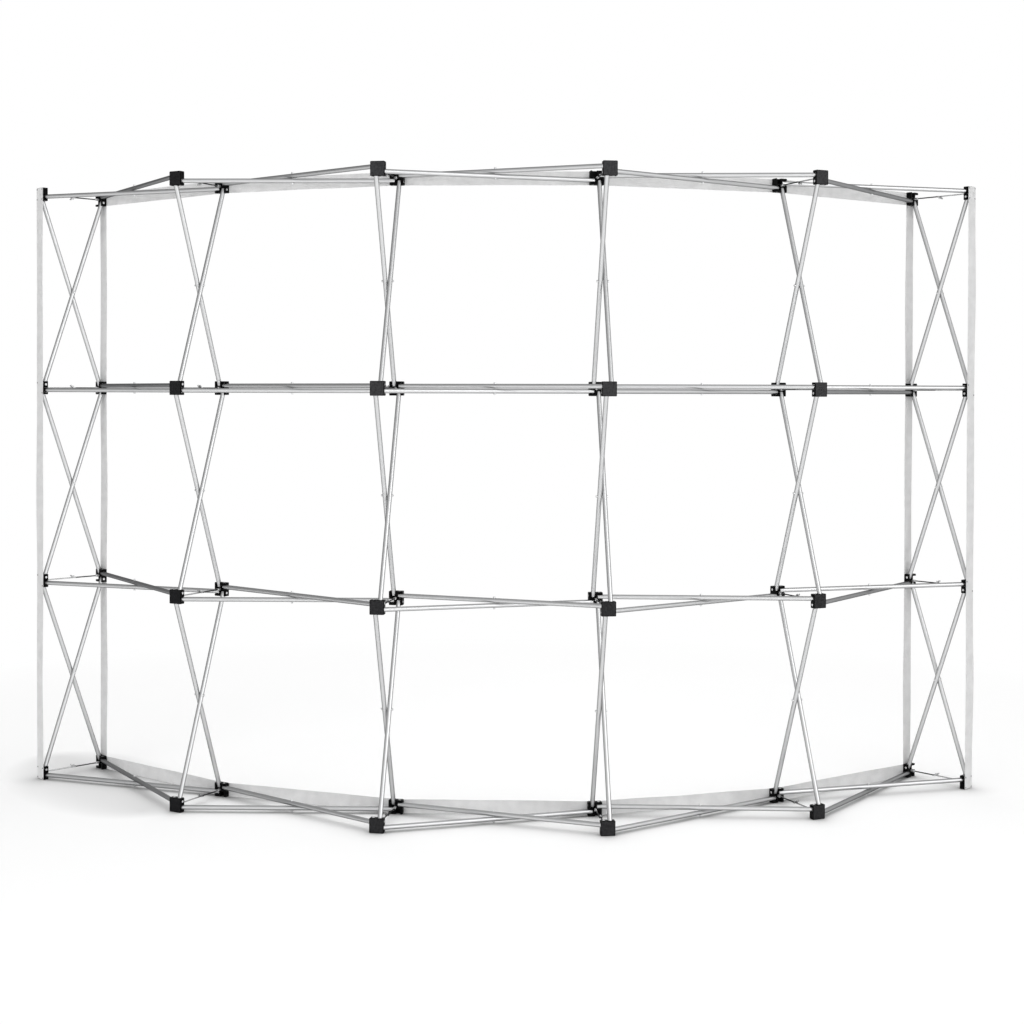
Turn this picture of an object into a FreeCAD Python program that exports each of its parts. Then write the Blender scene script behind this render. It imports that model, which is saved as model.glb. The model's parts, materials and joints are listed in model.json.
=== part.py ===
import FreeCAD, Part
import math
import os
import Sketcher
from FreeCAD import Matrix, Placement, Rotation, Vector

# Curved pop-up banner wall, its banner off: a folding lattice of crossed tubes and corner hubs.
# The front (concave) layer of hubs carries a strip of loop tape all round for a banner, and each end
# column of the rear (convex) layer carries one more. +Z is up, the rear layer faces -Y, columns run
# from -X to +X and rows from the floor up.
BAYS = 5
CELLS = 3
COLUMNS = range(BAYS + 1)
END_COLUMNS = (0, BAYS)
ROWS = range(CELLS + 1)
ROW_NAMES = ("bottom", "lower", "upper", "top")
QUARTER_TURNS = 4
FULL_TURN = 360
QUARTER_TURN = 90
LAID_ALONG_Y = Rotation(Vector(1, 0, 0), -QUARTER_TURN)

# Driving dimensions in millimetres and degrees: alias, value
SIZES = (
    # lattice
    ("row_pitch", 735), ("bay_angle", 18), ("layer_gap", 243),
    # tubes, which lie side by side in each cross
    ("tube_diameter", 16), ("tube_wall", 1), ("tube_spacing", 17.2),
    # hubs
    ("hub_side", 50), ("hub_corner_radius", 3), ("hub_plate", 3.5), ("slot_clearance", 0.5),
    ("hub_centre_web", 4.7), ("pin_reach", 13), ("socket_diameter", 5.2), ("socket_depth", 12),
    ("strip_rivet_inset", 6),
    # pins, whose heads lie flush in the hub's sides, and rivets
    ("hub_pin_diameter", 4), ("pin_head_diameter", 8.4), ("pin_head_height", 1.2), ("pin_clearance", 0.2),
    ("web_pin_depth", 3.5),
    ("rivet_diameter", 5), ("rivet_stud_diameter", 8), ("rivet_stud_height", 5), ("rivet_stud_bevel", 1),
    # lock: ferrule, swinging arm and fixed catch rod
    ("ferrule_diameter", 9), ("ferrule_length", 15), ("ferrule_bevel", 1), ("fork_gap", 3.2),
    ("pivot_reach", 10), ("arm_pin_diameter", 3), ("eye_diameter", 8), ("eye_thickness", 2.6),
    ("rod_diameter", 4.5), ("catch_pin_diameter", 3.2), ("catch_clearance", 0.4), ("tine_gap", 5.8),
    ("tine_thickness", 2.5), ("tine_height", 4.5), ("bridge_reach", 13), ("bridge_length", 3),
    ("tine_bend_angle", 40), ("tine_tip", 8), ("hook_tip", 6), ("hook_turn", 70),
    # hook pads, and strips of loop tape with their rivets
    ("pad_side", 46), ("pad_thickness", 2), ("strip_width", 48), ("strip_thickness", 1.2),
    ("strip_rivet_diameter", 5), ("strip_rivet_height", 1.2), ("strip_rivet_bevel", 0.5),
    ("strip_rivet_shank", 2.4), ("strip_rivet_grip", 6),
    # how far a cutting shape passes the faces it opens
    ("overrun", 2),
)

doc = FreeCAD.newDocument("curved_banner_wall")
sheet = doc.addObject("Spreadsheet::Sheet", "Sizes")
for line, (alias, value) in enumerate(SIZES, start=1):
    sheet.set("A%d" % line, alias)
    sheet.set("B%d" % line, str(value))
    sheet.setAlias("B%d" % line, alias)
doc.recompute()


def size(alias):
    """A driving dimension as it stands in the sheet."""
    return float(sheet.get(alias))


def bind(obj, **expressions):
    """Tie properties of a document object to the sheet; a double underscore stands for a dot."""
    for path, expression in expressions.items():
        words = expression.split()
        cells = ["Sizes." + word if word in ALIASES else word for word in words]
        obj.setExpression(path.replace("__", "."), " ".join(cells))


ALIASES = {alias for alias, value in SIZES}


def solid(kind, name, base=None, turn=None, **expressions):
    """A primitive bound to the sheet, at a fixed turn."""
    obj = doc.addObject(kind, name)
    if turn is not None:
        obj.Placement = Placement(Vector(), turn)
    bind(obj, **expressions)
    for axis, expression in (base or {}).items():
        bind(obj, **{"Placement__Base__" + axis: expression})
    return obj


def cut(name, base, tools):
    """One solid less several tools."""
    fused = doc.addObject("Part::MultiFuse", name + "_tools")
    fused.Shapes = tools
    result = doc.addObject("Part::Cut", name)
    result.Base = base
    result.Tool = fused
    return result


def fuse(name, pieces):
    """Several shapes as one solid."""
    result = doc.addObject("Part::MultiFuse", name)
    result.Shapes = pieces
    result.Refine = True
    return result


def plane(body, role):
    """One of a body's own origin planes."""
    return next(item for item in body.Origin.OriginFeatures if item.Role == role)


def new_sketch(body, name, role="XY_Plane"):
    """An empty sketch on one of the body's origin planes."""
    sketch = body.newObject("Sketcher::SketchObject", name)
    sketch.AttachmentSupport = [(plane(body, role), "")]
    sketch.MapMode = "FlatFace"
    return sketch


def fix_points(sketch, lines, expressions):
    """Tie the start point of each line of a closed outline to its two coordinates."""
    for line, pair in zip(lines, expressions):
        for kind, expression in zip(("DistanceX", "DistanceY"), pair):
            index = sketch.addConstraint(Sketcher.Constraint(kind, -1, 1, line, 1, value_of(expression)))
            words = expression.split()
            cells = ["Sizes." + word if word in ALIASES else word for word in words]
            sketch.setExpression("Constraints[%d]" % index, " ".join(cells))


def outline(sketch, points):
    """A closed outline whose corners are pairs of expressions in the sheet's words."""
    count = len(points)
    corners = [Vector(*(value_of(text) for text in pair)) for pair in points]
    lines = []
    for start in range(count):
        end = (start + 1) % count
        lines.append(sketch.addGeometry(Part.LineSegment(corners[start], corners[end])))
    for start in range(count):
        following = lines[(start + 1) % count]
        sketch.addConstraint(Sketcher.Constraint("Coincident", lines[start], 2, following, 1))
    fix_points(sketch, lines, points)


def value_of(expression):
    """A first value for a sketch point, worked out from the sheet's words."""
    return float(sheet.evalExpression(expression))


# Lattice geometry worked out from the driving dimensions
half_bay = math.radians(size("bay_angle") / 2)
half_growth = size("layer_gap") * math.sin(half_bay)
front_chord = math.hypot(half_growth, size("row_pitch")) - half_growth
front_radius = front_chord / 2 / math.sin(half_bay)
rear_radius = front_radius + size("layer_gap")
tube_radius = size("tube_diameter") / 2
side_offset = size("tube_spacing") / 2
pin_depth = size("hub_plate") + size("slot_clearance") + tube_radius
hub_depth = pin_depth + tube_radius
floor_to_bottom_row = size("hub_side") / 2
wall_height = CELLS * size("row_pitch") + size("hub_side")
rear_face_radius = rear_radius + pin_depth
front_face_radius = front_radius - pin_depth
strip_front_radius = front_face_radius - size("strip_thickness")


def column_angle(column):
    """A column's place on the arc, in radians from the wall's middle."""
    return math.radians((column - BAYS / 2) * size("bay_angle"))


def outward(column):
    """The direction from the arc's centre to a column."""
    return Vector(math.sin(column_angle(column)), -math.cos(column_angle(column)), 0)


def along(column):
    """The direction along the wall at a column, towards +X."""
    return Vector(math.cos(column_angle(column)), math.sin(column_angle(column)), 0)


UP = Vector(0, 0, 1)
half_hub = size("hub_side") / 2
half_strip = size("strip_width") / 2
rivet_inset = half_hub - size("strip_rivet_inset")


def reach(column, radius, half_width):
    """How far towards -Y a level edge on a column reaches from the arc's centre, at its two ends."""
    return [-(outward(column) * radius + along(column) * side * half_width).y for side in (-1, 1)]


rear_reach = max(max(reach(column, rear_face_radius + size("pad_thickness"), size("pad_side") / 2))
                 for column in COLUMNS[1:-1])
front_reach = min(min(reach(column, strip_front_radius, half_strip)) for column in END_COLUMNS)
arc_centre = Vector(0, (rear_reach + front_reach) / 2, 0)


def spot(column, radius, height):
    """A point on a column at a radius from the arc's centre."""
    return arc_centre + outward(column) * radius + UP * height


def row_height(row):
    """The height of a row of hub centres."""
    return floor_to_bottom_row + row * size("row_pitch")


def frame_at(base, x_axis, y_axis):
    """A placement from a point and two of its axes."""
    z_axis = x_axis.cross(y_axis)
    matrix = Matrix(x_axis.x, y_axis.x, z_axis.x, base.x, x_axis.y, y_axis.y, z_axis.y, base.y,
                    x_axis.z, y_axis.z, z_axis.z, base.z, 0, 0, 0, 1)
    return Placement(matrix)


def hub_places(column, layer):
    """Where a column's hubs sit: X along the wall, Y up and Z out of the hub's own face."""
    if layer == "rear":
        return [frame_at(spot(column, rear_face_radius, row_height(row)), along(column), UP) for row in ROWS]
    return [frame_at(spot(column, front_face_radius, row_height(row)), -along(column), UP) for row in ROWS]


# Hub: a square moulding with four tube slots set round its centre like a pinwheel
SLOT_START = "hub_centre_web"
SLOT_FAR = "- tube_spacing / 2 - tube_diameter / 2 - slot_clearance"
HUB_DEPTH = "hub_plate + slot_clearance + tube_diameter"
BELOW_HUB = "- hub_plate - slot_clearance - tube_diameter - overrun"
RIVET_HOLE = "( strip_rivet_shank + pin_clearance ) / 2"
PIN_HEIGHT = "- hub_plate - slot_clearance - tube_diameter / 2"


def make_hub():
    """The hub with its outer face at Z 0 and its slots opening away from that face."""
    half = "hub_side / 2"
    block = solid("Part::Box", "hub_block", Length="hub_side", Width="hub_side", Height=HUB_DEPTH,
                  base={"x": "- hub_side / 2", "y": "- hub_side / 2",
                        "z": "- hub_plate - slot_clearance - tube_diameter"})
    doc.recompute()
    upright_edges = [index for index, edge in enumerate(block.Shape.Edges, start=1)
                     if edge.BoundBox.ZLength > edge.BoundBox.XLength + edge.BoundBox.YLength]
    rounded = doc.addObject("Part::Fillet", "hub_rounded")
    rounded.Base = block
    rounded.Edges = [(index, size("hub_corner_radius"), size("hub_corner_radius")) for index in upright_edges]
    tools = []
    for turn in range(QUARTER_TURNS):
        angle = turn * QUARTER_TURN
        slot = solid("Part::Box", "hub_slot_%d" % turn, Length=half + " - hub_centre_web + overrun",
                     Width="tube_diameter + slot_clearance * 2",
                     Height="slot_clearance + tube_diameter + overrun",
                     base={"x": SLOT_START, "y": SLOT_FAR, "z": BELOW_HUB})
        pin_hole = solid("Part::Cylinder", "hub_pin_hole_%d" % turn, turn=LAID_ALONG_Y,
                         Radius="( hub_pin_diameter + pin_clearance ) / 2",
                         Height="hub_side / 2 + web_pin_depth + pin_clearance + overrun",
                         base={"x": "pin_reach", "y": "- hub_side / 2 - overrun", "z": PIN_HEIGHT})
        head_seat = solid("Part::Cylinder", "hub_head_seat_%d" % turn, turn=LAID_ALONG_Y,
                          Radius="( pin_head_diameter + pin_clearance ) / 2",
                          Height="pin_head_height + pin_clearance + overrun",
                          base={"x": "pin_reach", "y": "- hub_side / 2 - overrun", "z": PIN_HEIGHT})
        rivet_hole = solid("Part::Cylinder", "hub_rivet_hole_%d" % turn, Radius=RIVET_HOLE,
                           Height="strip_rivet_grip + pin_clearance + overrun",
                           base={"x": "hub_side / 2 - strip_rivet_inset",
                                 "y": "hub_side / 2 - strip_rivet_inset",
                                 "z": "- strip_rivet_grip - pin_clearance"})
        quarter = fuse("hub_quarter_%d" % turn, [slot, pin_hole, head_seat, rivet_hole])
        quarter.Placement = Placement(Vector(), Rotation(UP, angle))
        tools.append(quarter)
    socket = solid("Part::Cylinder", "hub_socket", Radius="socket_diameter / 2",
                   Height="socket_depth + overrun", base={"z": BELOW_HUB})
    return cut("hub", rounded, tools + [socket])


# Tubes: hollow, rounded about their end pins, drilled for two pins and the crossing rivet
def make_tube(name, length, crossing):
    """A tube along X from its first end pin at the origin, with its pins along Z."""
    lay = Rotation(UP.cross(Vector(1, 0, 0)), QUARTER_TURN)
    stock = solid("Part::Cylinder", name + "_stock", turn=lay, Radius="tube_diameter / 2")
    stock.Height = length + size("tube_diameter")
    bind(stock, Placement__Base__x="- tube_diameter / 2")
    waist = solid("Part::Box", name + "_waist", Width="tube_diameter", Height="tube_diameter",
                  base={"y": "- tube_diameter / 2", "z": "- tube_diameter / 2"})
    waist.Length = length
    ends = []
    for end, place in (("first", 0), ("last", length)):
        cap = solid("Part::Cylinder", "%s_%s_end" % (name, end), Radius="tube_diameter / 2",
                    Height="tube_diameter", base={"z": "- tube_diameter / 2"})
        cap.Placement.Base.x = place
        ends.append(cap)
    rounded = doc.addObject("Part::MultiCommon", name + "_rounded")
    rounded.Shapes = [stock, fuse(name + "_outline", [waist] + ends)]
    bore = solid("Part::Cylinder", name + "_bore", turn=lay, Radius="tube_diameter / 2 - tube_wall",
                 base={"x": "- tube_diameter"})
    bore.Height = length + 2 * size("tube_diameter")
    tools = [bore]
    for hole, place, width in (("first_hole", 0, "hub_pin_diameter"),
                               ("last_hole", length, "hub_pin_diameter"),
                               ("rivet_hole", crossing, "rivet_diameter")):
        drill = solid("Part::Cylinder", "%s_%s" % (name, hole), Radius="( %s + pin_clearance ) / 2" % width,
                      Height="tube_diameter + overrun * 2", base={"z": "- tube_diameter / 2 - overrun"})
        drill.Placement.Base.x = place
        tools.append(drill)
    return cut(name, rounded, tools)


def make_turned(name, profile):
    """A turned piece about Z from half its outline, given as pairs of radius and height."""
    body = doc.addObject("PartDesign::Body", name)
    sketch = new_sketch(body, name + "_profile", "XZ_Plane")
    outline(sketch, profile)
    turned = body.newObject("PartDesign::Revolution", name + "_turned")
    turned.Profile = sketch
    turned.ReferenceAxis = (sketch, ["V_Axis"])
    turned.Angle = FULL_TURN
    return body


def make_rivet():
    """The rivet of a cross, with a stud on each side of the two tubes."""
    shank = "rivet_diameter / 2"
    stud = "rivet_stud_diameter / 2"
    seat = "tube_spacing / 2 + tube_diameter / 2"
    bevel = seat + " + rivet_stud_height - rivet_stud_bevel"
    top = seat + " + rivet_stud_height"
    crown = stud + " - rivet_stud_bevel"
    upper = [(shank, seat), (stud, seat), (stud, bevel), (crown, top), ("0", top)]
    lower = [(radius, "( %s ) * -1" % height) for radius, height in reversed(upper)]
    return make_turned("cross_rivet", lower + upper)


def make_ferrule():
    """The forked ferrule that carries a lock arm, seated by its spigot in the hub's socket."""
    spigot = "socket_diameter / 2 - pin_clearance / 2"
    barrel = "ferrule_diameter / 2"
    profile = [("0", "socket_depth * -1"), (spigot, "socket_depth * -1"), (spigot, "0"), (barrel, "0"),
               (barrel, "ferrule_length - ferrule_bevel"),
               (barrel + " - ferrule_bevel", "ferrule_length"), ("0", "ferrule_length")]
    turned = make_turned("ferrule_turned", profile)
    gap = solid("Part::Box", "ferrule_gap", Length="ferrule_diameter + overrun * 2", Width="fork_gap",
                Height="ferrule_length",
                base={"x": "- ferrule_diameter / 2 - overrun", "y": "- fork_gap / 2",
                      "z": "pivot_reach - eye_diameter / 2 - fork_gap / 2"})
    hole = solid("Part::Cylinder", "ferrule_hole", turn=Rotation(Vector(1, 0, 0), QUARTER_TURN),
                 Radius="( arm_pin_diameter + pin_clearance ) / 2", Height="ferrule_diameter + overrun * 2",
                 base={"y": "ferrule_diameter / 2 + overrun", "z": "pivot_reach"})
    return cut("ferrule", turned, [gap, hole])


# Lock: the arm lies along X from its pivot, and its hooking side is +Y
rod_radius = size("rod_diameter") / 2
catch_radius = size("catch_pin_diameter") / 2
catch_rise = catch_radius + size("catch_clearance") + rod_radius
face_gap = size("layer_gap") + 2 * pin_depth
pivot_depth = hub_depth + size("pivot_reach")
catch_reach = face_gap / 2 - pivot_depth
bend = math.radians(size("tine_bend_angle"))
tine_bend_reach = catch_reach - catch_rise / math.tan(bend)


def bent_strip(points, height):
    """The outline of a strip of even height along a line of points in the XY plane."""
    half = height / 2
    sides = [[], []]
    for index, point in enumerate(points):
        before = (point - points[index - 1]).normalize() if index else (points[1] - point).normalize()
        after = (points[index + 1] - point).normalize() if index + 1 < len(points) else before
        normal = Vector(-(before + after).y, (before + after).x, 0).normalize()
        stretch = half / normal.dot(Vector(-before.y, before.x, 0))
        sides[0].append(point + normal * stretch)
        sides[1].append(point - normal * stretch)
    corners = sides[0] + sides[1][::-1]
    return Part.Face(Part.makePolygon(corners + corners[:1]))


def make_arm():
    """A lock arm: eye, rod and a fork whose cross pin rests in the hook of the catch rod."""
    across = Vector(1, 0, 0)
    half_eye = size("eye_thickness") / 2
    eye = Part.makeCylinder(size("eye_diameter") / 2, size("eye_thickness"), -UP * half_eye)
    bridge_start = catch_reach - size("bridge_reach") - size("bridge_length")
    rod = Part.makeCylinder(rod_radius, bridge_start + size("bridge_length") / 2, Vector(), across)
    hole = Part.makeCylinder((size("arm_pin_diameter") + size("pin_clearance")) / 2, size("rod_diameter") * 2,
                             -UP * size("rod_diameter"))
    flat_room = math.hypot(size("ferrule_length") - size("pivot_reach"), size("ferrule_diameter") / 2)
    flat_room += size("slot_clearance")
    cheek_height = size("rod_diameter")
    cheeks = [Part.makeBox(flat_room + tube_radius, size("eye_diameter"), cheek_height,
                           Vector(-tube_radius, -size("eye_diameter") / 2, side * half_cheek))
              for side, half_cheek in ((1, half_eye), (-1, half_eye + cheek_height))]
    fork_width = size("tine_gap") + 2 * size("tine_thickness")
    tip = Vector(tine_bend_reach, 0, 0) + Vector(math.cos(bend), math.sin(bend), 0) * (
        catch_rise / math.sin(bend) + size("tine_tip"))
    strip = bent_strip([Vector(bridge_start, 0, 0), Vector(tine_bend_reach, 0, 0), tip], size("tine_height"))
    fork = strip.extrude(UP * fork_width)
    fork.translate(-UP * (fork_width / 2))
    gap_start = bridge_start + size("bridge_length")
    gap_corner = Vector(gap_start, -face_gap / 2, -size("tine_gap") / 2)
    gap = Part.makeBox(tip.x, face_gap, size("tine_gap"), gap_corner)
    pin = Part.makeCylinder(catch_radius, fork_width, Vector(catch_reach, catch_rise, -fork_width / 2))
    body = eye.fuse([rod.cut(cheeks), fork.cut(gap), pin]).removeSplitter()
    return body.cut(hole)


def make_catch():
    """A catch rod: a straight rod from the rear hub's socket whose end turns up into an open hook."""
    turn = math.radians(size("hook_turn"))
    root = Vector(face_gap - pivot_depth - hub_depth + size("socket_depth"), 0, 0)
    bend_start = Vector(catch_reach, 0, 0)
    centre = Vector(catch_reach, catch_rise, 0)

    def on_hook(angle):
        return centre + Vector(-math.sin(angle), -math.cos(angle), 0) * catch_rise

    bend_end = on_hook(turn)
    tip = bend_end + Vector(-math.cos(turn), math.sin(turn), 0) * size("hook_tip")
    path = Part.Wire([Part.LineSegment(root, bend_start).toShape(),
                      Part.Arc(bend_start, on_hook(turn / 2), bend_end).toShape(),
                      Part.LineSegment(bend_end, tip).toShape()])
    section = Part.Wire(Part.makeCircle(rod_radius, root, Vector(1, 0, 0)))
    return path.makePipeShell([section], True, True)


def make_hub_pin():
    """The pin of a hub's first slot, in the hub's own frame, its head flush with the hub's side."""
    head_end = {"x": "pin_reach", "y": "- hub_side / 2", "z": PIN_HEIGHT}
    shank = solid("Part::Cylinder", "pin_shank", head_end, LAID_ALONG_Y, Radius="hub_pin_diameter / 2",
                  Height="hub_side / 2 + web_pin_depth")
    head = solid("Part::Cylinder", "pin_head", head_end, LAID_ALONG_Y, Radius="pin_head_diameter / 2",
                 Height="pin_head_height")
    return fuse("hub_pin", [shank, head])


def make_pad():
    """A hook-fabric pad, lying on Z 0."""
    half = "pad_side / 2"
    body = doc.addObject("PartDesign::Body", "pad")
    sketch = new_sketch(body, "pad_outline")
    outline(sketch, [("- " + half, "- " + half), (half, "- " + half), (half, half), ("- " + half, half)])
    pad = body.newObject("PartDesign::Pad", "pad_raised")
    pad.Profile = sketch
    bind(pad, Length="pad_thickness")
    return body


def make_strip_rivet():
    """A rivet that holds a strip to a hub: its shank in the hub, its head on the strip's outer face."""
    shank = "strip_rivet_shank / 2"
    head = "strip_rivet_diameter / 2"
    crown = head + " - strip_rivet_bevel"
    top = "strip_thickness + strip_rivet_height"
    return make_turned("strip_rivet", [("0", "strip_rivet_grip * -1"), (shank, "strip_rivet_grip * -1"),
                                       (shank, "strip_thickness"), (head, "strip_thickness"),
                                       (head, top + " - strip_rivet_bevel"), (crown, top), ("0", top)])


def level_strip(row):
    """A strip along a row of front hubs, flat on each hub, straight between hubs and mitred at both ends."""
    bottom = row_height(row) - half_strip
    faces = [[spot(column, depth, bottom) + along(column) * side * half_strip
              for column in COLUMNS for side in (-1, 1)]
             for depth in (front_face_radius, strip_front_radius)]
    corners = faces[0] + faces[1][::-1]
    strip = Part.Face(Part.makePolygon(corners + corners[:1])).extrude(UP * size("strip_width"))
    return strip.cut([side_strip(column) for column in END_COLUMNS])


def side_strip(column):
    """A strip up a front end column, mitred into the level strips at its top and bottom."""
    outer, inner = (-half_strip, half_strip) if column == 0 else (half_strip, -half_strip)
    bottom = row_height(0)
    top = row_height(CELLS)
    outline_points = [(outer, bottom - half_strip), (inner, bottom + half_strip),
                      (inner, top - half_strip), (outer, top + half_strip)]
    corners = [spot(column, front_face_radius, height) + along(column) * shift
               for shift, height in outline_points]
    face = Part.Face(Part.makePolygon(corners + corners[:1]))
    return face.extrude(outward(column) * -size("strip_thickness"))


# Nodes: every piece of the wall in place
nodes = []


def node(name, shapes, place=Placement()):
    """A named sub-part from the solids that make it up."""
    obj = doc.addObject("Part::Feature", name)
    obj.Label = name
    obj.Shape = shapes[0] if len(shapes) == 1 else Part.makeCompound(shapes)
    obj.Placement = place
    nodes.append(obj)


def copies(master, places):
    """A master's solid at each of several places."""
    return [master.Shape.Solids[0].transformed(place.toMatrix()) for place in places]


def pin_point(column, row, layer, side_step, up_step):
    """Where a tube's end pin crosses its hub's tube plane, from the hub's centre."""
    radius = rear_radius if layer == "rear" else front_radius
    reach = size("pin_reach")
    return spot(column, radius, row_height(row) + up_step * reach) + along(column) * side_step * reach


def tube_place(start, end, pin_axis):
    """A tube's place from its two end pins."""
    run = (end - start).normalize()
    return frame_at(start, run, pin_axis.cross(run))


def cross_bars(row):
    """The end pins of a row's tubes: rear to front runs low, front to rear runs high."""
    pairs = []
    for bay in range(BAYS):
        for start, end, level in (("rear", "front", -side_offset), ("front", "rear", side_offset)):
            lift = UP * level
            pairs.append((pin_point(bay, row, start, 1, 0) + lift,
                          pin_point(bay + 1, row, end, -1, 0) + lift))
    return pairs


def upright_bars(column):
    """The end pins of a column's tubes: rear to front on the +X side, front to rear on the other."""
    pairs = []
    for cell in range(CELLS):
        for start, end, level in (("rear", "front", side_offset), ("front", "rear", -side_offset)):
            shift = along(column) * level
            pairs.append((pin_point(column, cell, start, 0, 1) + shift,
                          pin_point(column, cell + 1, end, 0, -1) + shift))
    return pairs


level_start, level_end = cross_bars(0)[0]
level_length = (level_end - level_start).Length
rear_span = rear_radius * math.sin(half_bay) - size("pin_reach") * math.cos(half_bay)
front_span = front_radius * math.sin(half_bay) - size("pin_reach") * math.cos(half_bay)
level_crossing = level_length * rear_span / (rear_span + front_span)
upright_start, upright_end = upright_bars(0)[0]
upright_length = (upright_end - upright_start).Length

hub = make_hub()
level_tube = make_tube("level_tube", level_length, level_crossing)
upright_tube = make_tube("upright_tube", upright_length, upright_length / 2)
rivet = make_rivet()
ferrule = make_ferrule()
hook_pad = make_pad()
strip_rivet = make_strip_rivet()
hub_pin = make_hub_pin()
arm_pin = solid("Part::Cylinder", "arm_pin", Radius="arm_pin_diameter / 2", Height="ferrule_diameter",
                base={"z": "- ferrule_diameter / 2"})
doc.recompute()

for column in COLUMNS:
    node("rear_hubs_c%d" % (column + 1), copies(hub, hub_places(column, "rear")))
    node("front_hubs_c%d" % (column + 1), copies(hub, hub_places(column, "front")))

rivet_places = []
for row in ROWS:
    bars = []
    for index, (start, end) in enumerate(cross_bars(row)):
        from_rear = index % 2 == 0
        first, last = (start, end) if from_rear else (end, start)
        bars += copies(level_tube, [tube_place(first, last, UP)])
        if from_rear:
            crossing = first + (last - first) * (level_crossing / level_length) + UP * side_offset
            rivet_places.append(Placement(crossing, Rotation()))
    node("cross_bars_%s" % ROW_NAMES[row], bars)
for column in COLUMNS:
    pairs = upright_bars(column)
    node("upright_bars_c%d" % (column + 1),
         copies(upright_tube, [tube_place(start, end, along(column)) for start, end in pairs]))
    for start, end in pairs[::2]:
        crossing = (start + end) / 2 - along(column) * side_offset
        rivet_places.append(frame_at(crossing, UP, outward(column)))
node("cross_rivets", copies(rivet, rivet_places))


def held_turns(column, row, layer):
    """Which of a hub's four slots hold a tube, as quarter turns from its +X slot."""
    right, left = (column < BAYS, column > 0) if layer == "rear" else (column > 0, column < BAYS)
    return [turn for turn, held in enumerate((right, row < CELLS, left, row > 0)) if held]


for layer in ("rear", "front"):
    hub_pin_places = []
    for column in COLUMNS:
        for row, place in zip(ROWS, hub_places(column, layer)):
            hub_pin_places += [place.multiply(Placement(Vector(), Rotation(UP, turn * QUARTER_TURN)))
                               for turn in held_turns(column, row, layer)]
    node("%s_hub_pins" % layer, copies(hub_pin, hub_pin_places))

arm_shape = make_arm()
catch_shape = make_catch()
ferrule_places, arm_pin_places, catch_solids = [], [], []
for column in COLUMNS:
    for row in ROWS:
        hooking_side = -UP if row == CELLS else UP
        pivot = spot(column, front_face_radius + pivot_depth, row_height(row))
        place = frame_at(pivot, outward(column), hooking_side)
        node("lock_arm_c%d_%s" % (column + 1, ROW_NAMES[row]), [arm_shape], place)
        catch_solids.append(catch_shape.transformed(place.toMatrix()))
        arm_pin_places.append(place)
        seat = spot(column, front_face_radius + hub_depth, row_height(row))
        ferrule_places.append(frame_at(seat, -UP, along(column)))
node("lock_ferrules", copies(ferrule, ferrule_places))
node("lock_arm_pins", copies(arm_pin, arm_pin_places))
node("lock_catch_rods", catch_solids)

INNER_COLUMNS = COLUMNS[1:-1]
INNER_ROWS = ROWS[1:-1]
END_ROWS = (0, CELLS)
bare_rear = [place for column in INNER_COLUMNS for place in hub_places(column, "rear")]
bare_front = [hub_places(column, "front")[row] for column in INNER_COLUMNS for row in INNER_ROWS]
node("rear_hook_pads", copies(hook_pad, bare_rear))
node("front_hook_pads", copies(hook_pad, bare_front))


def rivet_corners(column, row, layer):
    """The corners of a hub where rivets hold its strips, as signs of the hub's own X and Y."""
    every_corner = [(x, y) for x in (-1, 1) for y in (-1, 1)]
    if column in INNER_COLUMNS and (layer == "rear" or row in INNER_ROWS):
        return []
    if layer == "rear":
        return every_corner if row in END_ROWS else [(-1, 1), (1, -1)]
    falling = (column == 0) == (row == 0)
    return [(x, y) for x, y in every_corner if (x == y) == falling]


strip_rivet_places = []
for layer in ("rear", "front"):
    for column in COLUMNS:
        for row, place in zip(ROWS, hub_places(column, layer)):
            strip_rivet_places += [place.multiply(Placement(Vector(x, y, 0) * rivet_inset, Rotation()))
                                   for x, y in rivet_corners(column, row, layer)]
node("strip_rivets", copies(strip_rivet, strip_rivet_places))
drill = Part.makeCylinder((size("strip_rivet_shank") + size("pin_clearance")) / 2,
                          size("strip_thickness") + size("overrun"))
strip_holes = [drill.transformed(place.toMatrix()) for place in strip_rivet_places]


def rear_strip(column):
    """A strip up a rear end column, from the bottom hub to the top one."""
    base = frame_at(spot(column, rear_face_radius, row_height(0)), along(column), UP)
    length = row_height(CELLS) - row_height(0) + size("strip_width")
    corner = Vector(-half_strip, -half_strip, 0)
    strip = Part.makeBox(size("strip_width"), length, size("strip_thickness"), corner)
    return strip.transformed(base.toMatrix())


node("front_strip_bottom", [level_strip(0).cut(strip_holes)])
node("front_strip_top", [level_strip(CELLS).cut(strip_holes)])
node("front_strip_sides", [side_strip(column).cut(strip_holes) for column in END_COLUMNS])
node("rear_end_strips", [rear_strip(column).cut(strip_holes) for column in END_COLUMNS])
doc.recompute()

failed = [obj.Name for obj in doc.Objects if "Invalid" in obj.State or "Error" in obj.State]
bad = [obj.Label for obj in nodes if obj.Shape.isNull() or not obj.Shape.isValid() or not obj.Shape.Solids]
if failed or bad:
    raise RuntimeError("failed objects %s, bad shapes %s" % (failed, bad))

os.makedirs("parts", exist_ok=True)
for obj in nodes:
    obj.Shape.exportStep("parts/%s.step" % obj.Label)
box = Part.makeCompound([obj.Shape for obj in nodes]).BoundBox
print("nodes", len(nodes), "solids", sum(len(obj.Shape.Solids) for obj in nodes))
print("box", [round(value, 2) for value in (box.XMin, box.YMin, box.ZMin, box.XMax, box.YMax, box.ZMax)])
print("tube lengths", round(level_length, 2), round(upright_length, 2), "front chord", round(front_chord, 2))
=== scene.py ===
import functools
import json
import math

import bmesh
import bpy
from bpy.props import FloatProperty, FloatVectorProperty, IntProperty, PointerProperty
from mathutils import Matrix, Vector, noise


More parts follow.
